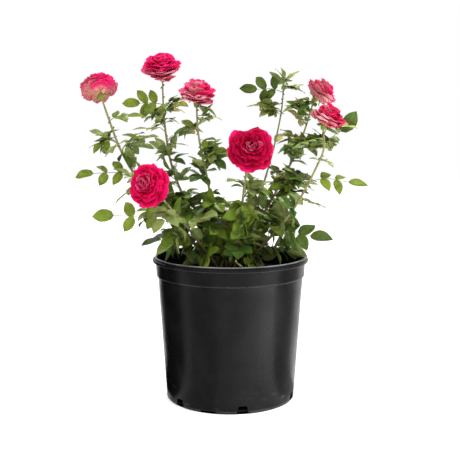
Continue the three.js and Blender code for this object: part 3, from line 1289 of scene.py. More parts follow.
@dataclass
class Crown:
    """The knobbly union at soil level that every cane springs from.

    Attributes:
        lumps: Height of its broad lumps, in millimetres.
        cracks: Height of the ridges between its cracks.
        grain: Height of its fine grain.
        girth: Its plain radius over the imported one.
    """

    lumps: float = 3.2
    cracks: float = 1.1
    grain: float = 0.5
    girth: float = 0.92

    def build(self) -> list[Piece]:
        """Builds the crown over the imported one.

        Returns:
            The finished crown.
        """
        low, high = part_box("crown")
        middle = (low + high) / 2
        half = (high - low) / 2
        shape = bmesh.new()
        bmesh.ops.create_icosphere(shape, subdivisions=5, radius=1.0)
        for vert in shape.verts:
            way = vert.co.normalized()
            swell = (noise.noise(way * 2.4) * self.lumps + noise.noise(way * 9) * self.cracks
                     + noise.noise(way * 22) * self.grain) * MM
            vert.co = middle + Vector((way.x * (half.x * self.girth + swell),
                                       way.y * (half.y * self.girth + swell),
                                       way.z * (half.z + swell)))
        mesh = mesh_of(shape, "crown_wood")
        smooth(mesh)
        crown = link(mesh, [CaneBark("old_bark", (0.13, 0.10, 0.05), (0.10, 0.07, 0.04)).material()])
        settle(crown, ["crown"])
        return [crown]


# ---- Canes

@dataclass
class Canes:
    """The nine canes with their bark, prickles and buds.

    Attributes:
        limbs: The measured canes by name.
        sides: Faces round a cane.
        rings: Faces along a cane.
        joint_gap: Distance between two nodes of the wood, in metres.
        joint_length: How far the swelling at a node reaches along the cane.
        prickle_gap: Distance between two places for a prickle.
        bare: Share of those places that stay bare.
        buds: Share of the others that carry a bud in place of a prickle.
        smooth_tip: Share of the cane's length above which it is smooth.
        seed: Seed of its chance.
    """

    limbs: dict[str, Limb]
    sides: int = 14
    rings: int = 84
    joint_gap: float = 34 * MM
    joint_length: float = 2.4 * MM
    prickle_gap: float = 9 * MM
    bare: float = 0.3
    buds: float = 0.22
    smooth_tip: float = 0.94
    seed: int = 23

    def build(self) -> list[Piece]:
        """Builds the wood of all canes and what grows out of its bark.

        Returns:
            The two pieces.
        """
        rng = np.random.default_rng(self.seed)
        tube = tube_stamp(self.sides, self.rings)
        wood = Heap("cane_wood")
        spines = Heap("prickles")
        thorn, bud = thorn_stamp(), bud_stamp()
        for limb in self.limbs.values():
            wood.add(tube, self.bark(limb, tube, rng))
            self.arm(limb, spines, thorn, bud, rng)
        bark = CaneBark("cane_bark", (0.245, 0.255, 0.078), (0.125, 0.080, 0.042))
        canes = wood.build([bark.material()])
        settle(canes, list(self.limbs))
        skins = (CaneBark("prickle", (0.22, 0.055, 0.030), (0.14, 0.07, 0.05)),
                 CaneBark("bud", (0.20, 0.10, 0.04), (0.20, 0.08, 0.05)))
        prickles = spines.build([skin.material() for skin in skins])
        settle(prickles, [])
        return [canes, prickles]

    def bark(self, limb: Limb, tube: Stamp, rng: Random) -> Array:
        """Bends a tube along a cane, swollen at its nodes and rough at its foot.

        Args:
            limb: The cane.
            tube: The straight tube.
            rng: Source of chance.

        Returns:
            The bark's points.
        """
        z = tube.points[:, 2]
        radius = limb.radius(z)
        joints = int(limb.path.length / self.joint_gap)
        for k in range(1, joints):
            middle = (k + rng.uniform(-0.2, 0.2)) / joints
            width = self.joint_length / limb.path.length
            radius = radius * (1 + 0.20 * np.exp(-((z - middle) / width) ** 2))
        points = limb.path.wrap(tube.points, radius)
        age = np.clip((0.34 - points[:, 2]) / 0.13, 0.12, 1)
        swell = np.array([noise.noise(Vector(p) * 60) * 0.10 + noise.noise(Vector(p) * 210) * 0.09
                          for p in points])
        return limb.path.wrap(tube.points, radius * (1 + swell * age * 1.6))

    def arm(self, limb: Limb, heap: Heap, thorn: Stamp, bud: Stamp, rng: Random) -> None:
        """Sets prickles and a few buds on a cane.

        Args:
            limb: The cane.
            heap: Takes the copies.
            thorn: The prickle's shape.
            bud: The bud's shape.
            rng: Source of chance.
        """
        count = int(limb.path.length / self.prickle_gap)
        for k in range(count):
            t = (k + rng.uniform(0.1, 0.9)) / count
            at = limb.path.at(t)
            if at[2] < CLEAR_OF_SOIL or t > self.smooth_tip or rng.random() < self.bare:
                continue
            tangent = unit(limb.path.tangent(t))
            out = square_to(any_direction(rng), tangent)
            radius = float(limb.radius(t))
            if rng.random() < self.buds:
                size = rng.uniform(2.6, 4.0) * MM
                axes = np.stack([np.cross(out, tangent), tangent, unit(out + tangent)]) * size
                axes[1] = np.cross(axes[2], axes[0]) / size
                heap.place(bud, at + out * (radius - 0.8 * MM), axes, 1)
            else:
                size = rng.uniform(2.4, 4.6) * MM
                axes = np.stack([tangent, np.cross(out, tangent), out]) * size
                heap.place(thorn, at + out * (radius - 0.3 * MM), axes)


# ---- Blooms

class Tint(Enum):
    """The petal finishes: each value is the material slot of its face, with its back in the next."""

    CRIMSON = 0
    ROSE = 2
    BLUSH = 4
    # painted shade: a darker copy of crimson, for a bloom that sits in shade
    SHADED_CRIMSON = 6
    CERISE = 8


# Painted shade: the claws of the crimson, cerise and darker crimson faces are darker than their blades,
# standing in for the shade deep between the petals.
PETALS = {
    Tint.CRIMSON: (
        PetalSkin("crimson_face", (0.12, 0.001, 0.006), (0.44, 0.0008, 0.024), (0.66, 0.004, 0.095)),
        PetalSkin("crimson_back", (0.68, 0.36, 0.26), (0.54, 0.040, 0.085), (0.58, 0.015, 0.090), 0.25)),
    Tint.ROSE: (
        PetalSkin("rose_face", (0.60, 0.06, 0.10), (0.62, 0.030, 0.110), (0.68, 0.08, 0.21)),
        PetalSkin("rose_back", (0.50, 0.30, 0.17), (0.47, 0.165, 0.145), (0.55, 0.075, 0.150), 0.5)),
    Tint.BLUSH: (
        PetalSkin("blush_face", (0.74, 0.32, 0.22), (0.70, 0.11, 0.22), (0.68, 0.06, 0.19), 0.25),
        PetalSkin("blush_back", (0.78, 0.58, 0.38), (0.76, 0.38, 0.36), (0.70, 0.22, 0.30), 0.2)),
    # Painted shade: the crimson pair darkened for the body of the front bloom, which sits in shade.
    Tint.SHADED_CRIMSON: (
        PetalSkin("shaded_crimson_face", (0.07, 0.0005, 0.003), (0.27, 0.0003, 0.011), (0.44, 0.002, 0.052)),
        PetalSkin("shaded_crimson_back", (0.56, 0.30, 0.20), (0.48, 0.08, 0.11), (0.48, 0.020, 0.080), 0.3)),
    Tint.CERISE: (
        PetalSkin("cerise_face", (0.58, 0.003, 0.045), (0.74, 0.0015, 0.075), (0.78, 0.014, 0.165)),
        PetalSkin("cerise_back", (0.74, 0.34, 0.28), (0.64, 0.018, 0.105), (0.72, 0.035, 0.180), 0.25)),
}


@dataclass(frozen=True)
class Ring:
    """One ring of petals in a bloom.

    Attributes:
        count: Petals round it.
        opening: Angle from the bloom's axis at mid-blade, in degrees.
        length: Petal length in bloom radii.
        width: Petal width in bloom radii.
        curl: How far the rim turns outwards, in degrees; inwards below zero.
        flare: How far the claw already leans, over the opening.
    """

    count: int
    opening: float
    length: float
    width: float
    curl: float
    flare: float = 0.30


class Form(Enum):
    """How a bloom is built up, ring by ring from the outside."""

    ROSETTE = (Ring(8, 86, 1.06, 0.86, 14), Ring(10, 77, 1.04, 0.78, 24), Ring(11, 68, 1.00, 0.68, 28),
               Ring(12, 59, 0.95, 0.58, 28), Ring(12, 50, 0.89, 0.50, 22), Ring(11, 41, 0.82, 0.44, 10),
               Ring(10, 32, 0.74, 0.38, -10), Ring(8, 22, 0.66, 0.33, -45), Ring(5, 11, 0.56, 0.27, -75))
    CUP = (Ring(6, 70, 0.84, 1.16, -26, 1.15), Ring(7, 68, 0.96, 1.10, -12, 1.00),
           Ring(7, 63, 1.02, 1.02, 0, 0.75), Ring(7, 54, 1.00, 0.92, 8, 0.45),
           Ring(7, 45, 0.94, 0.82, 8), Ring(7, 36, 0.88, 0.70, 0), Ring(6, 27, 0.80, 0.58, -14),
           Ring(5, 18, 0.72, 0.48, -35), Ring(4, 8, 0.62, 0.38, -55))


@dataclass(frozen=True)
class BloomPlan:
    """How one bloom is coloured.

    Attributes:
        node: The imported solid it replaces.
        cane: The cane that carries it.
        form: How it is built up.
        rim: Tint of the outermost rings.
        body: Tint of the rings between.
        eye: Tint of the innermost rings.
        side: Tint of the petals on one side.
        side_way: Direction of that side in the plant's frame.
        side_share: How much of the ring the side takes, 0 for none.
        seed: Seed of its shape.
    """

    node: str
    cane: str
    form: Form
    rim: Tint
    body: Tint
    eye: Tint
    side: Tint = Tint.CRIMSON
    side_way: Triple = (1.0, 0.0, 0.0)
    side_share: float = 0.0
    seed: int = 1


BLOOMS = (
    BloomPlan("bloom_left", "cane_left", Form.ROSETTE, Tint.ROSE, Tint.ROSE, Tint.ROSE,
              Tint.CERISE, (0.25, 0.0, 1.0), 0.20, 31),
    BloomPlan("bloom_top", "cane_top", Form.CUP, Tint.BLUSH, Tint.CERISE, Tint.CERISE, seed=32),
    BloomPlan("bloom_centre", "cane_centre", Form.CUP, Tint.ROSE, Tint.CERISE, Tint.BLUSH,
              Tint.BLUSH, (-0.7, -0.6, 0.0), 0.30, 33),
    BloomPlan("bloom_front_left", "cane_front_left", Form.ROSETTE, Tint.CERISE, Tint.CRIMSON,
              Tint.ROSE, seed=34),
    # The front bloom's body takes the darker crimson, painted shade for a bloom in shade.
    BloomPlan("bloom_front", "cane_front", Form.ROSETTE, Tint.CERISE, Tint.SHADED_CRIMSON, Tint.ROSE, seed=35),
    BloomPlan("bloom_right_back", "cane_right_back", Form.CUP, Tint.BLUSH, Tint.CERISE, Tint.CERISE,
              Tint.ROSE, (-1, -0.3, -0.2), 0.36, 36),
    BloomPlan("bloom_right", "cane_right", Form.CUP, Tint.ROSE, Tint.CRIMSON, Tint.CRIMSON,
              Tint.BLUSH, (-0.8, 0, -0.6), 0.16, 37),
)


PETAL_STEPS = 40  # lengths that a petal's curve is worked out in
PETAL_WIDEST = 0.66  # where a petal is widest, over its length


def petal_stamp() -> Stamp:
    """Makes the flat grid that every petal is bent from.

    Returns:
        The grid, with X across and Y along from 0 to 1.
    """
    shape = bmesh.new()
    shape.loops.layers.uv.new("Along")
    bmesh.ops.create_grid(shape, x_segments=6, y_segments=8, size=1.0, calc_uvs=True)
    for vert in shape.verts:
        vert.co.y = (vert.co.y + 1) / 2
    return Stamp.of(shape)


@dataclass
class Bloom:
    """One very double rose, petal by petal, over a green hip with reflexed sepals.

    Attributes:
        plan: Its place and colours.
        limb: The cane that carries it.
        thickness: Thickness of a petal, in metres.
        fill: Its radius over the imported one.
        lift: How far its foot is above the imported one's, over the depth.
        depth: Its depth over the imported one.
        eye_ring: The first ring whose petals may be tinted as the eye.
        eye_share: Share of those petals that are.
    """

    plan: BloomPlan
    limb: Limb
    thickness: float = 0.45 * MM
    fill: float = 0.975
    lift: float = 0.04
    depth: float = 0.95
    eye_ring: int = 6
    eye_share: float = 0.45

    def __post_init__(self) -> None:
        """Measures the bloom's axis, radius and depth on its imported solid."""
        cloud = corners_of(self.plan.node).reshape(-1, 3)
        low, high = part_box(self.plan.node)
        self.middle = np.array((low + high) / 2)
        foot = self.limb.path.at(0.97)
        self.axis = unit(self.middle - foot)
        reach = (cloud - self.middle) @ self.axis
        self.bottom, self.top = float(reach.min()), float(reach.max())
        off = (cloud - self.middle) - np.outer(reach, self.axis)
        self.radius = float(np.percentile(np.linalg.norm(off, axis=1), 96))
        self.across = square_to(np.array([1.0, 0.2, 0.1]), self.axis)
        self.aside = np.cross(self.axis, self.across)

    def petal(self, grid: Array, ring: Ring, turn: float, rng: Random) -> Array:
        """Bends one petal in the bloom's own frame, in bloom radii.

        Args:
            grid: The flat petal's points.
            ring: The ring it stands in.
            turn: Its direction round the axis.
            rng: Source of chance.

        Returns:
            Points with Z along the bloom's axis.
        """
        u, v = -grid[:, 0], grid[:, 1]
        length = ring.length * rng.uniform(0.86, 1.08)
        width = ring.width * rng.uniform(0.88, 1.1)
        opening = math.radians(ring.opening + rng.normal(0, 6.5))
        curl = math.radians(ring.curl * rng.uniform(0.5, 1.4))
        fine = np.linspace(0, 1, PETAL_STEPS + 1)
        lift = np.clip(fine / 0.62, 0, 1)
        angle = opening * (ring.flare + (1 - ring.flare) * lift * lift * (3 - 2 * lift))
        angle = angle + curl * np.clip((fine - 0.60) / 0.40, 0, 1) ** 1.6
        step = length / PETAL_STEPS
        out = 0.03 + np.concatenate([[0], np.cumsum(np.sin(angle[:-1])) * step])
        up = np.concatenate([[0], np.cumsum(np.cos(angle[:-1])) * step])
        round_tip = np.sqrt(np.clip(1 - ((v - PETAL_WIDEST) / 0.375) ** 2, 0.02, 1))
        half = (width / 2 * np.clip(v / PETAL_WIDEST, 0.0, 1) ** 0.62
                * np.where(v > PETAL_WIDEST, round_tip, 1.0))
        half = half + 0.05 * width
        tip = rng.uniform(0.02, 0.07)
        along = np.clip(v - tip * (v > 0.8) * (1 - np.abs(u)) * rng.choice([-0.6, 1.0]), 0, 1)
        a = np.interp(along, fine, angle)
        r = np.interp(along, fine, out)
        h = np.interp(along, fine, up)
        wave = rng.uniform(0, 2 * math.pi)
        soft = min(width, 0.72)
        ruffle = 0.066 * soft * np.sin(3.6 * u + wave) * v ** 2
        ruffle = ruffle + 0.026 * soft * np.sin(6.5 * u + 4 * v + 2 * wave) * v ** 3
        roll = rng.uniform(-0.02, 0.12) * width * np.abs(u) ** 2.4 * v
        off = ruffle + roll * (1 if ring.curl > 0 else -0.4)
        r = r + off * np.cos(a)
        h = h - off * np.sin(a)
        bend = np.maximum(r * 1.05, 0.20 + 0.25 * ring.length)
        sweep = u * half / bend
        tilt = rng.normal(0, 0.05)
        x = r - bend * (1 - np.cos(sweep))
        y = bend * np.sin(sweep) + tilt * h
        return np.stack([x * math.cos(turn) - y * math.sin(turn),
                         x * math.sin(turn) + y * math.cos(turn), h], 1)

    def tint(self, ring: int, turn: float, rng: Random) -> Tint:
        """Chooses the finish of one petal.

        Args:
            ring: Which ring it is in, from the outside.
            turn: Its direction round the axis.
            rng: Source of chance.

        Returns:
            The finish.
        """
        way = self.across * math.cos(turn) + self.aside * math.sin(turn)
        side = square_to(np.array(self.plan.side_way, float), self.axis)
        if self.plan.side_share and float(way @ side) > 1 - 2 * self.plan.side_share:
            return self.plan.side
        if ring < (2 if self.plan.form is Form.CUP else 1):
            return self.plan.rim
        in_eye = ring >= self.eye_ring and rng.random() < self.eye_share
        return self.plan.eye if in_eye else self.plan.body

    def build(self) -> Piece:
        """Builds the bloom's petals.

        Returns:
            The petals as one piece.
        """
        rng = np.random.default_rng(self.plan.seed)
        flat = petal_stamp()
        petals = []
        for index, ring in enumerate(self.plan.form.value):
            start = rng.uniform(0, 2 * math.pi)
            for k in range(ring.count):
                turn = start + 2 * math.pi * (k + rng.uniform(-0.36, 0.36)) / ring.count
                points = self.petal(flat.points, ring, turn, rng)
                points[:, 2] += 0.050 * index + rng.uniform(-0.03, 0.03)
                petals.append((points, self.tint(index, turn, rng)))
        cloud = np.vstack([points for points, _ in petals])
        wide = np.percentile(np.hypot(cloud[:, 0], cloud[:, 1]), 99)
        low, high = np.percentile(cloud[:, 2], (0.5, 99.8))
        deep = self.top - self.bottom
        heap = Heap(self.plan.node.replace("bloom", "petals"))
        for points, tint in petals:
            level = points[:, :2] * (self.fill * self.radius / wide)
            rise = (self.bottom + self.lift * deep
                    + (points[:, 2] - low) * self.depth * deep / (high - low))
            world = (self.middle + level[:, :1] * self.across + level[:, 1:] * self.aside
                     + rise[:, None] * self.axis)
            heap.add(flat, world, tint.value)
        piece = heap.build([skin.material() for pair in PETALS.values() for skin in pair])
        thicken(piece, self.thickness)
        settle(piece, [self.plan.node])
        return piece

    def calyx(self, heap: Heap, hip: Stamp, sepal: Stamp, rng: Random) -> None:
        """Adds the hip and its five sepals.

        Args:
            heap: Takes the parts.
            hip: The hip's shape.
            sepal: The sepal's shape.
            rng: Source of chance.
        """
        deep = self.top - self.bottom
        foot = self.middle + self.axis * (self.bottom - 0.02 * deep)
        size = self.radius * 0.17
        heap.place(hip, foot, np.stack([self.across, self.aside, self.axis * 1.5]) * size)
        for k in range(5):
            turn = 2 * math.pi * (k + rng.uniform(-0.15, 0.15)) / 5
            out = self.across * math.cos(turn) + self.aside * math.sin(turn)
            way = unit(out - self.axis * rng.uniform(-0.45, 0.30))
            side = unit(np.cross(way, self.axis))
            length = self.radius * rng.uniform(0.36, 0.50)
            axes = np.stack([side, way, np.cross(side, way)]) * length
            heap.place(sepal, foot + self.axis * size + out * size * 0.6, axes)


@dataclass
class Roses:
    """All blooms, with their hips and sepals.

    Attributes:
        limbs: The measured canes by name.
        sepal_thickness: Thickness of a sepal, in metres.
        seed: Seed of the hips and sepals.
    """

    limbs: dict[str, Limb]
    sepal_thickness: float = 0.5 * MM
    seed: int = 7

    def build(self) -> list[Piece]:
        """Builds every bloom, and joins all hips and sepals.

        Returns:
            The petals of each bloom, then the joined hips and sepals.
        """
        rng = np.random.default_rng(self.seed)
        sepal = leaflet_stamp(0.24, 0.30, 0.9, 0.01)
        globe = bmesh.new()
        bmesh.ops.create_icosphere(globe, subdivisions=2, radius=1.0)
        hip = Stamp.of(globe)
        heap = Heap("calyces")
        pieces = []
        for plan in BLOOMS:
            bloom = Bloom(plan, self.limbs[plan.cane])
            pieces.append(bloom.build())
            bloom.calyx(heap, hip, sepal, rng)
        calyces = heap.build([LEAVES[Green.MID][0].material(), LEAVES[Green.OLIVE][1].material()])
        thicken(calyces, self.sepal_thickness)
        settle(calyces, [])
        return pieces + [calyces]


# ---- Foliage

class Green(Enum):
    """The leaf finishes: each value is the slot of the upper face, with the underside next."""

    DEEP = 0
    MID = 2
    OLIVE = 4
    YOUNG = 6


DRY_EDGE: Colour = (0.136, 0.136, 0.068)
LEAVES = {
    Green.DEEP: (
        LeafSkin("deep_leaf", (0.052, 0.108, 0.012), (0.125, 0.190, 0.045), (0.068, 0.095, 0.027), 0.42),
        LeafSkin("deep_under", (0.163, 0.245, 0.068), (0.272, 0.381, 0.163), DRY_EDGE, 0.62)),
    Green.MID: (
        LeafSkin("mid_leaf", (0.136, 0.218, 0.016), (0.231, 0.299, 0.061), (0.204, 0.122, 0.027),
                 0.44, 0.45, 0.25),
        LeafSkin("mid_under", (0.218, 0.306, 0.088), (0.354, 0.490, 0.231), DRY_EDGE, 0.64)),
    Green.OLIVE: (
        LeafSkin("olive_leaf", (0.200, 0.275, 0.072), (0.340, 0.394, 0.150), (0.272, 0.136, 0.041),
                 0.46, 0.4, 0.35),
        LeafSkin("olive_under", (0.286, 0.360, 0.109), (0.408, 0.517, 0.245), DRY_EDGE, 0.64)),
    Green.YOUNG: (
        LeafSkin("young_leaf", (0.265, 0.325, 0.034), (0.400, 0.420, 0.110), (0.354, 0.095, 0.041),
                 0.42, 0.4, 0.8),
        LeafSkin("young_under", (0.408, 0.394, 0.150), (0.490, 0.462, 0.245), (0.299, 0.109, 0.054),
                 0.62, 0.4, 0.6)),
}


SKIRT_LINE = 0.335  # height below which leaves belong to the skirt
LEFT_LINE = -0.085  # X below which the higher ones belong to the left
RIGHT_LINE = 0.055  # X above which they belong to the right
LOW_LINE = 0.37  # height below which leaves grow larger and hang outwards
OVER_SOIL = 0.238  # lowest height of a tip inside the rim
RIM_REACH = 0.118  # how far out a tip has to clear the rim
OVER_RIM = 0.262  # lowest height of a tip there


class Bank(Enum):
    """The joined pieces that leaves are gathered in, by where they grow."""

    LEFT = "leaves_of_left"
    CENTRE = "leaves_of_centre"
    RIGHT = "leaves_of_right"
    SKIRT = "leaves_of_skirt"

    @classmethod
    def of(cls, place: Array) -> "Bank":
        """Chooses the piece for leaves.

        Args:
            place: Where they grow.

        Returns:
            Their piece.
        """
        if place[2] < SKIRT_LINE:
            return cls.SKIRT
        if place[0] < LEFT_LINE:
            return cls.LEFT
        return cls.RIGHT if place[0] > RIGHT_LINE else cls.CENTRE


@dataclass
class Mass:
    """One packed mass of leaves, measured.

    Attributes:
        cloud: Its corners.
        middle: Its middle.
        volume: Its volume in cubic metres.
        half: Half its box.
    """

    PAD_LENGTH = 2.1

    cloud: Array
    middle: Array
    volume: float
    half: Array

    @classmethod
    def measured(cls, node: str) -> "Mass":
        """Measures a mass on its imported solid.

        Args:
            node: The mass's solid.

        Returns:
            The measured mass.
        """
        triangles = corners_of(node)
        cloud = np.unique(triangles.reshape(-1, 3).round(6), axis=0)
        signed = np.einsum("ij,ij->i", triangles[:, 0],
                           np.cross(triangles[:, 1], triangles[:, 2])) / 6
        low, high = cloud.min(0), cloud.max(0)
        return cls(cloud, cloud.mean(0), abs(float(signed.sum())), (high - low) / 2)

    def is_pad(self) -> bool:
        """Tells whether the mass is the long pad of a single leaf.

        Returns:
            True for a pad.
        """
        spread = self.cloud - self.middle
        sizes = np.sqrt(np.linalg.eigvalsh(spread.T @ spread / len(spread)))
        return bool(sizes[2] > self.PAD_LENGTH * sizes[1])

    def bank(self) -> Bank:
        """Returns the joined piece that its leaves belong to."""
        return Bank.of(self.middle)


@dataclass(frozen=True)
class LoneLeaf:
    """A large end leaflet that stands apart from its spray.

    Attributes:
        base: Where its blade starts, in metres.
        tip: Where it ends.
        facing: The way its upper face looks.
        tone: Its finish.
    """

    base: Triple
    tip: Triple
    facing: Triple
    tone: Green


BARE_TIP = 6  # points below a cane's tip that carry no shoot
LEAF_REACH = (0.052, 0.070)  # shortest and longest leaf asked for
LOW_EXTRA = 0.012  # how much longer it is low down
SHORTEST_LEAF = 0.036  # shortest leaf that is grown
THREE_UP_TO = 0.056  # longest leaf with three leaflets
FIVE_UP_TO = 0.088  # longest leaf with five
LEAFLET_PAIRS = {3: (0.60,), 5: (0.32, 0.68), 7: (0.22, 0.48, 0.74)}
LEAFLET_SHAPES = ((0.62, 0.16, 0.30, 0.012), (0.66, 0.10, 0.15, 0.016), (0.58, 0.28, 0.45, 0.014),
                  (0.60, 0.20, 0.70, 0.020), (0.56, 0.34, 0.25, 0.018), (0.64, 0.08, 0.50, 0.022))
LONE_LEAVES = (
    LoneLeaf((0.187, -0.012, 0.463), (0.216, -0.018, 0.496), (0.5, -0.75, 0.35), Green.DEEP),
    LoneLeaf((0.016, -0.112, 0.244), (0.010, -0.131, 0.262), (0.1, -0.55, 0.85), Green.OLIVE),
)


def lowness(height: float, fade: float) -> float:
    """Tells how low down a leaf is.

    Args:
        height: Its height in metres.
        fade: How far below the low line it is fully low.

    Returns:
        0 above the low line, 1 where it is fully low.
    """
    return float(np.clip((LOW_LINE - height) / fade, 0, 1))


def spread_out(points: Array, count: int, first: int) -> Array:
    """Picks points that are as far from each other as they can be.

    Args:
        points: The points to pick from.
        count: How many are picked.
        first: Index of the first pick.

    Returns:
        The picked points.
    """
    picks = [first]
    gaps = np.linalg.norm(points - points[first], axis=1)
    for _ in range(min(count, len(points)) - 1):
        pick = int(np.argmax(gaps))
        picks.append(pick)
        gaps = np.minimum(gaps, np.linalg.norm(points - points[pick], axis=1))
    return points[picks]


@dataclass
class Foliage:
    """All leaves: compound leaves on stalks, on the canes or on twigs that spring from them.

    Attributes:
        limbs: The measured canes by name.
        masses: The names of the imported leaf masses.
        density: Leaves in a mass of ten cubic centimetres.
        right_share: Density of the masses on the right, over the plain density.
        low_loss: Share of its density that the lowest mass lacks.
        crowding: How slowly the count of leaves grows with a mass, as a power.
        share: Volume that one shoot fills, in cubic metres.
        leaf_gap: Distance between leaves that spring straight from a cane, in metres.
        dress_low: Height above which a cane carries its own leaves.
        dress_top: Share of the cane's length up to which it does.
        show: How far the faces of the long leaves are turned to the front.
        thickness: Thickness of a leaflet, in metres.
        seed: Seed of its chance.
    """

    limbs: dict[str, Limb]
    masses: list[str]
    density: float = 1.9
    right_share: float = 1.18
    low_loss: float = 0.60
    crowding: float = 0.70
    share: float = 7.0e-5
    leaf_gap: float = 22 * MM
    dress_low: float = 0.232
    dress_top: float = 0.82
    show: float = 0.5
    thickness: float = 0.35 * MM
    seed: int = 41

    def __post_init__(self) -> None:
        """Prepares the repeated shapes and the empty heaps."""
        self.rng = np.random.default_rng(self.seed)
        self.leaflets = [leaflet_stamp(*shape) for shape in LEAFLET_SHAPES]
        self.stalk = tube_stamp(6, 12)
        self.shoot = tube_stamp(8, 20)
        self.banks = {bank: Heap(bank.value) for bank in Bank}
        self.nodes: dict[Bank, list[str]] = {bank: [] for bank in Bank}
        self.stalks = Heap("leaf_stalks")
        self.twigs = Heap("twigs")

    def build(self) -> list[Piece]:
        """Grows every mass and gathers the leaves into their joined pieces.

        Returns:
            The pieces of leaves, stalks and twigs.
        """
        for node in self.masses:
            mass = Mass.measured(node)
            self.nodes[mass.bank()].append(node)
            self.grow(mass)
        for limb in self.limbs.values():
            self.dress(limb)
        for lone in LONE_LEAVES:
            self.single(lone)
        skins = [skin.material() for pair in LEAVES.values() for skin in pair]
        pieces: list[Piece] = []
        for bank, heap in self.banks.items():
            piece = heap.build(skins)
            thicken(piece, self.thickness)
            settle(piece, self.nodes[bank])
            pieces.append(piece)
        green = CaneBark("leaf_stalk", (0.220, 0.235, 0.070), (0.18, 0.13, 0.060), 0.1, 0.2)
        young = CaneBark("twig_bark", (0.210, 0.230, 0.065), (0.15, 0.12, 0.055))
        for heap, bark, slot in ((self.stalks, green, "leaf"), (self.twigs, young, "cane_bark")):
            piece = heap.build([bark.material()])
            settle(piece, [])
            pieces.append(piece)
        return pieces

    def host(self, point: Array) -> tuple[Limb, float]:
        """Finds where on a cane a shoot springs from.

        Args:
            point: Where the shoot ends.

        Returns:
            The cane and the share of its length.
        """
        best = None
        for limb in self.limbs.values():
            points = limb.path.points[:-BARE_TIP]
            gap = np.linalg.norm(points - point, axis=1)
            above = np.clip(points[:, 2] - (point[2] - 0.010), 0, None)
            buried = np.clip(CLEAR_OF_SOIL - points[:, 2], 0, None)
            cost = gap + 1.6 * above + 3 * buried
            k = int(np.argmin(cost))
            if best is None or cost[k] < best[0]:
                best = (float(cost[k]), limb, k / (len(limb.path.points) - 1))
        return best[1], best[2]

    def grow(self, mass: Mass) -> None:
        """Grows all leaves of one mass.

        Args:
            mass: The measured mass.
        """
        rng = self.rng
        if mass.is_pad():
            limb, t = self.host(mass.middle)
            root = limb.path.at(t)
            gaps = np.linalg.norm(mass.cloud - root, axis=1)
            far, near = mass.cloud[int(np.argmax(gaps))], mass.cloud[int(np.argmin(gaps))]
            spread = mass.cloud - mass.middle
            thin = np.linalg.eigh(spread.T @ spread)[1][:, 0]
            facing = np.array([thin[0], -abs(thin[1]) - self.show, abs(thin[2])])
            tone = Green.MID if rng.random() < 0.6 else Green.DEEP
            self.leaf(root, far, unit(near - root) * 0.35 + unit(far - near) * 0.65, mass.bank(), 5,
                      facing, tone)
            return
        low = lowness(mass.middle[2], 0.08)
        anchors, stems = self.shoots(mass)
        share = self.right_share if mass.bank() is Bank.RIGHT else 1.0 - self.low_loss * low
        full = self.density * share
        count = max(3, round(full * (mass.volume / 1e-5) ** self.crowding))
        core = np.array([np.linalg.norm(anchors - point, axis=1).min() for point in mass.cloud])
        floor = mass.cloud[:, 2].min() + (0.5 - 0.5 * low) * mass.half[2]
        out = mass.cloud[(core > min(0.030, 0.5 * float(core.max()))) & (mass.cloud[:, 2] >= floor)]
        tips = spread_out(out, count, int(rng.integers(len(out))))
        used = np.zeros(len(anchors))
        for tip in tips:
            gaps = np.linalg.norm(anchors - tip, axis=1)
            want = rng.uniform(*LEAF_REACH) + LOW_EXTRA * low
            cost = np.abs(gaps - want) + 0.012 * used + 0.5 * np.clip(anchors[:, 2] - tip[2], 0, 1)
            pick = int(np.argmin(cost))
            near = np.exp(-((np.arange(len(anchors)) - pick) / 2.0) ** 2)
            used += near * (stems == stems[pick])
            base = anchors[pick]
            away = tip - base
            length = max(float(np.linalg.norm(away)), SHORTEST_LEAF)
            bend = unit(away) + 0.35 * UP * rng.uniform(0.3, 1.2)
            leaflets = 3 if length < THREE_UP_TO - 0.01 * low else 5 if length < FIVE_UP_TO else 7
            self.leaf(base, base + unit(away) * length, bend, mass.bank(), leaflets)

    def dress(self, limb: Limb) -> None:
        """Grows leaves straight on a cane, turning round it as they climb.

        Args:
            limb: The cane.
        """
        rng = self.rng
        turn = rng.uniform(0, 2 * math.pi)
        steps = int(limb.path.length / self.leaf_gap)
        for k in range(steps):
            t = (k + rng.uniform(0.2, 0.8)) / steps
            base = limb.path.at(t)
            turn += GOLDEN_ANGLE
            high = float(np.clip((base[2] - 0.33) / 0.05, 0, 1))
            if base[2] < self.dress_low or t > self.dress_top or rng.random() < 0.35 * high:
                continue
            tangent = unit(limb.path.tangent(t))
            side = square_to(UP, tangent)
            out = side * math.cos(turn) + np.cross(tangent, side) * math.sin(turn)
            length = rng.uniform(0.050, 0.072)
            tip = base + unit(out + 0.35 * tangent) * length
            tip[2] = min(max(tip[2], OVER_SOIL), float(limb.path.at(1.0)[2]) - 0.035)
            if float(np.hypot(tip[0], tip[1])) > RIM_REACH:
                tip[2] = max(tip[2], OVER_RIM)
            self.leaf(base, tip, unit(out + tangent), Bank.of(base), 3 if high > 0.5 else 5)

    def shoots(self, mass: Mass) -> tuple[Array, Array]:
        """Branches into a mass, with one shoot for every part of it.

        Args:
            mass: The mass to fill.

        Returns:
            Places for leaves, and the shoot that each one is on.
        """
        count = max(1, round(mass.volume / self.share))
        ends = spread_out(mass.cloud, count, int(self.rng.integers(len(mass.cloud))))
        ends = mass.middle + (ends - mass.middle) * (0.62 if count > 1 else 0.0)
        anchors, stems = [], []
        for number, end in enumerate(ends):
            limb, t = self.host(end)
            root = limb.path.at(t)
            if float(np.linalg.norm(end - root)) > 0.022:
                places = self.twig(limb, t, end).at(np.linspace(0.22, 1.0, 16))
            else:
                heights = limb.path.points[:, 2]
                reach = 0.55 * float(mass.half[2]) + 0.012
                inside = np.abs(heights - end[2] + 0.008) < reach
                places = limb.path.points[inside]
            anchors.append(places)
            stems.append(np.full(len(places), number))
        return np.vstack(anchors), np.concatenate(stems)

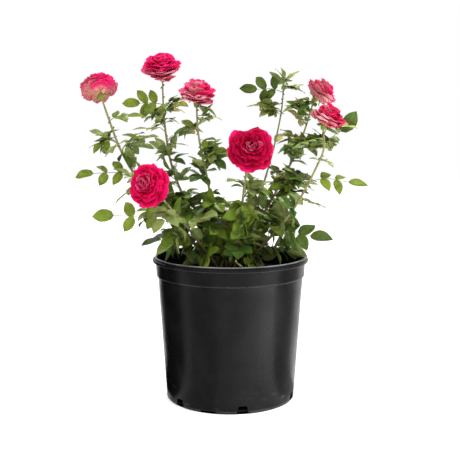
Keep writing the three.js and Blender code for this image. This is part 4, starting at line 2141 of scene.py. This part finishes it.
    def twig(self, limb: Limb, t: float, end: Array) -> Path:
        """Grows a twig from a cane.

        Args:
            limb: The cane it springs from.
            t: Where on the cane, as a share of its length.
            end: Where it ends.

        Returns:
            The twig's centre line.
        """
        root = limb.path.at(t)
        rise = unit(limb.path.tangent(t))
        away = end - root
        reach = float(np.linalg.norm(away))
        first = root + (rise * 0.50 + unit(away) * 0.50) * reach * 0.38
        second = root + away * 0.72 + UP * 0.07 * reach
        path = Path(np.vstack([root, first, second, end]), 24)
        foot = min(float(limb.radius(t)) * 0.55, 1.7 * MM)
        radius = foot + (0.70 * MM - foot) * self.shoot.points[:, 2]
        self.twigs.add(self.shoot, path.wrap(self.shoot.points, radius))
        return path

    def palette(self, tip: Array) -> Green:
        """Chooses the finish of a spray by its place.

        Args:
            tip: Where the spray ends.

        Returns:
            The finish.
        """
        high = (tip[2] - 0.22) / 0.36
        draw = self.rng.random()
        if draw < 0.20 * max(0.0, high - 0.45):
            return Green.YOUNG
        if draw < 0.12 + 0.34 * high:
            return Green.OLIVE
        return Green.MID if draw < 0.56 + 0.24 * high else Green.DEEP

    def leaf(self, base: Array, tip: Array, bend: Array, bank: Bank,
             leaflets: int, facing: Array | None = None, tone: Green | None = None) -> None:
        """Grows one compound leaf.

        Args:
            base: Where its stalk springs.
            tip: Where its end leaflet ends.
            bend: The way its stalk starts.
            bank: Its joined piece.
            leaflets: How many leaflets it has.
            facing: The way its upper face looks, where that is known.
            tone: Its finish, where that is known.
        """
        rng = self.rng
        away = tip - base
        length = float(np.linalg.norm(away))
        low = lowness(tip[2], 0.10)
        blade = float(np.clip(length * (0.53 + 0.01 * low), 0.029, 0.034 + 0.007 * low))
        direction = unit(away)
        hub = tip - direction * blade * 0.96
        if float((hub - base) @ direction) < 0.008:
            hub = base + direction * 0.008
        start = unit(bend) * float(np.linalg.norm(hub - base)) * 0.45
        path = Path(np.vstack([base, base + start, hub * 0.55 + (base + start) * 0.45, hub]), 12)
        axis = np.array([0.0, 0.0, tip[2]])
        outward = unit((tip - axis) * np.array([1, 1, 0.0]) + 1e-6)
        normal = unit(UP * (1.0 - 0.40 * low) + outward * (0.42 + 0.46 * low)
                      + any_direction(rng) * (0.52 + 0.22 * low))
        if facing is not None:
            normal = unit(facing + any_direction(rng) * 0.25)
        girth = 0.45 * MM + 0.35 * MM * (1 - self.stalk.points[:, 2])
        self.stalks.add(self.stalk, path.wrap(self.stalk.points, girth))
        heap = self.banks[bank]
        slot = (self.palette(tip) if tone is None else tone).value
        narrow = 1.0 - 0.14 * (1 - low)
        self.leaflet(heap, hub, unit(path.tangent(1.0) * 0.4 + direction), normal, blade, narrow, slot)
        for row in LEAFLET_PAIRS[leaflets]:
            at = path.at(row)
            along = unit(path.tangent(row))
            side = unit(np.cross(along, normal))
            for hand in (-1, 1):
                angle = math.radians(rng.uniform(50, 68))
                way = unit(along * math.cos(angle) + hand * side * math.sin(angle)
                           + square_to(normal, along) * rng.uniform(-0.15, 0.22))
                size = blade * (0.82 + 0.12 * row) * rng.uniform(0.84, 1.08)
                face = unit(normal + any_direction(rng) * 0.22)
                self.leaflet(heap, at, way, face, size, narrow, slot)

    def single(self, lone: LoneLeaf) -> None:
        """Grows one leaflet that stands apart on a thin stalk.

        Args:
            lone: Its place and finish.
        """
        base, tip, facing = (np.array(v, float) for v in (lone.base, lone.tip, lone.facing))
        limb, t = self.host(base - 0.02 * UP)
        root = limb.path.at(t)
        away = tip - base
        path = Path(np.vstack([root, root * 0.6 + base * 0.4 + 0.006 * UP, base]), 12)
        girth = 0.5 * MM + 0.35 * MM * (1 - self.stalk.points[:, 2])
        self.stalks.add(self.stalk, path.wrap(self.stalk.points, girth))
        self.leaflet(self.banks[Bank.of(base)], base, unit(away), facing,
                     float(np.linalg.norm(away)), 1.0, lone.tone.value)

    def leaflet(self, heap: Heap, base: Array, way: Array, face: Array,
                length: float, narrow: float, slot: int) -> None:
        """Places one leaflet.

        Args:
            heap: Takes the copy.
            base: Where it is joined to the stalk.
            way: The way it points.
            face: The way its upper face looks, roughly.
            length: Its length.
            narrow: Its width over the plain width.
            slot: The material slot of its upper face.
        """
        stamp = self.leaflets[int(self.rng.integers(len(self.leaflets)))]
        up = square_to(face, way)
        side = np.cross(way, up)
        axes = np.stack([side * narrow, way, up]) * length
        heap.place(stamp, base, axes, slot)


# ---- Studio

@dataclass(frozen=True)
class Lamp:
    """One lamp.

    Attributes:
        name: Its name.
        place: Where it hangs, in metres.
        aim: The point that it faces.
        power: Its power in watts.
        size: Edge of its square face in metres, or None for a spot.
        cone: Width of a spot's cone, in degrees.
    """

    name: str
    place: Triple
    aim: Triple
    power: float
    size: float | None = None
    cone: float = 0.0

    def hang(self) -> None:
        """Hangs the lamp."""
        data = bpy.data.lights.new(self.name, "AREA" if self.size else "SPOT")
        if self.size:
            data.shape = "SQUARE"
            data.size = self.size
        else:
            data.spot_size = math.radians(self.cone)
            data.spot_blend = 1.0
            data.shadow_soft_size = 0.2
        data.energy = self.power
        lamp = put(self.name, data)
        lamp.location = self.place
        way = Vector(self.aim) - Vector(self.place)
        lamp.rotation_euler = way.to_track_quat("-Z", "Y").to_euler()


@dataclass(frozen=True)
class Card:
    """A curved card round the pot that only reflections see, which models the pot's round wall.

    Attributes:
        name: Its name.
        start: Azimuth where it starts, in degrees from +X.
        stop: Azimuth where it stops.
        glow: How bright it is, 0 for black.
    """

    name: str
    start: float
    stop: float
    glow: float

    def stand(self) -> None:
        """Stands the card on the floor."""
        shape = bmesh.new()
        profile = [(0.122, 0.001), (0.30, 0.001), (0.30, 0.50)]
        verts = [shape.verts.new((radius, 0, height)) for radius, height in profile]
        edges = [shape.edges.new(pair) for pair in zip(verts[:-1], verts[1:])]
        bmesh.ops.rotate(shape, cent=(0, 0, 0), verts=verts,
                         matrix=Matrix.Rotation(math.radians(self.start), 3, "Z"))
        bmesh.ops.spin(shape, geom=verts + edges, cent=(0, 0, 0), axis=(0, 0, 1),
                       angle=math.radians(self.stop - self.start), steps=24, use_duplicate=False)
        shade = Shade(self.name, Roughness=1.0, Specular_IOR_Level=0.0, Emission_Strength=self.glow)
        shade.paint(Base_Color=BLACK, Emission_Color=WHITE)
        card = link(mesh_of(shape, self.name), [shade.material])
        card.visible_camera = False
        card.visible_diffuse = False
        card.visible_shadow = False


@dataclass
class Studio:
    """A pale floor under a white sky, with lamps, cards, a shadow below the pot and the camera.

    Attributes:
        lamps: Four soft lamps, and a spot that lights a pool of the floor beside the plant.
        cards: The cards that the pot's wall reflects.
        shadow: Radius of the black disc that keeps the drain notches dark, in metres.
        eye: The camera's place in metres.
        pitch: How far it looks down, in degrees.
        lens: Its focal length in millimetres.
        sensor: The width of its picture, in millimetres.
    """

    lamps: tuple[Lamp, ...] = (
        Lamp("overhead_softbox", (0.1, -0.35, 2.1), (0, 0, 0.30), 24.0, size=1.7),
        Lamp("right_strip", (1.7, -0.8, 0.75), (0, 0, 0.28), 12.0, size=0.9),
        Lamp("left_fill", (-1.7, -0.7, 0.9), (0, 0, 0.35), 3.0, size=1.1),
        Lamp("back_strip", (0.0, 1.6, 1.4), (0, 0, 0.30), 12.0, size=0.5),
        Lamp("floor_pool", (0.9, -0.5, 1.6), (0.5, -0.25, 0.0), 720.0, cone=27.0))
    cards: tuple[Card, ...] = (Card("dark_flag", 202.0, 144.0, 0.0),
                               Card("dim_flag", 215.0, 252.0, 0.78),
                               Card("grey_flag", 333.0, 375.0, 0.62))
    shadow: float = 0.1105
    eye: Triple = (-0.0007, -1.4445, 0.474)
    pitch: float = 7.14
    lens: float = 65.61
    sensor: float = 36.0

    def build(self) -> None:
        """Sets the floor, the light and the camera."""
        floor = Shade("pale_floor", Roughness=0.8, Specular_IOR_Level=0.1, Emission_Strength=0.30)
        floor.paint(Base_Color=(0.92, 0.92, 0.92), Emission_Color=WHITE)
        self.disc("studio_floor", 6.0, 0.0, floor)
        self.sky()
        for lamp in self.lamps:
            lamp.hang()
        black = Shade("contact_shadow", Roughness=1.0, Specular_IOR_Level=0.0)
        black.paint(Base_Color=BLACK)
        self.disc("contact_shadow", self.shadow, 0.2 * MM, black)
        for card in self.cards:
            card.stand()
        self.camera()
        bpy.context.scene.view_settings.view_transform = "Standard"

    def disc(self, name: str, radius: float, height: float, shade: Shade) -> None:
        """Lays a level disc about the pot's axis.

        Args:
            name: Its name.
            radius: Its radius in metres.
            height: How high it lies.
            shade: Its finish.
        """
        shape = bmesh.new()
        bmesh.ops.create_circle(shape, cap_ends=True, segments=96, radius=radius)
        bmesh.ops.translate(shape, vec=(0, 0, height), verts=shape.verts)
        link(mesh_of(shape, name), [shade.material])

    def sky(self) -> None:
        """Lights the scene evenly from a white sky."""
        world = bpy.data.worlds.new("studio_sky")
        bpy.context.scene.world = world
        world.use_nodes = True
        back = world.node_tree.nodes["Background"]
        back.inputs["Strength"].default_value = 1.0
        back.inputs["Color"].default_value = (*WHITE, 1.0)

    def camera(self) -> None:
        """Stands the camera in front of the plant."""
        data = bpy.data.cameras.new("camera")
        data.sensor_width = self.sensor
        data.lens = self.lens
        data.clip_start = 0.05
        camera = put("camera", data)
        camera.location = self.eye
        camera.rotation_euler = (math.radians(90 - self.pitch), 0, 0)
        bpy.context.scene.camera = camera


# ---- Everything in order

def main() -> None:
    """Builds the rose bush and its studio."""
    logging.basicConfig(level=logging.INFO, format="%(name)s: %(message)s")
    names = list(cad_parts)
    limbs = {name: Limb.measured(name) for name in names if name.startswith("cane_")}
    masses = [name for name in names if name.startswith("leaves_")]
    for part in (Pot(), Ground(), Crown(), Canes(limbs), Roses(limbs), Foliage(limbs, masses)):
        for piece in part.build():
            LOG.info("%s: %d faces", piece.name, len(piece.data.polygons))
    Studio().build()


if __name__ == "__main__":
    main()
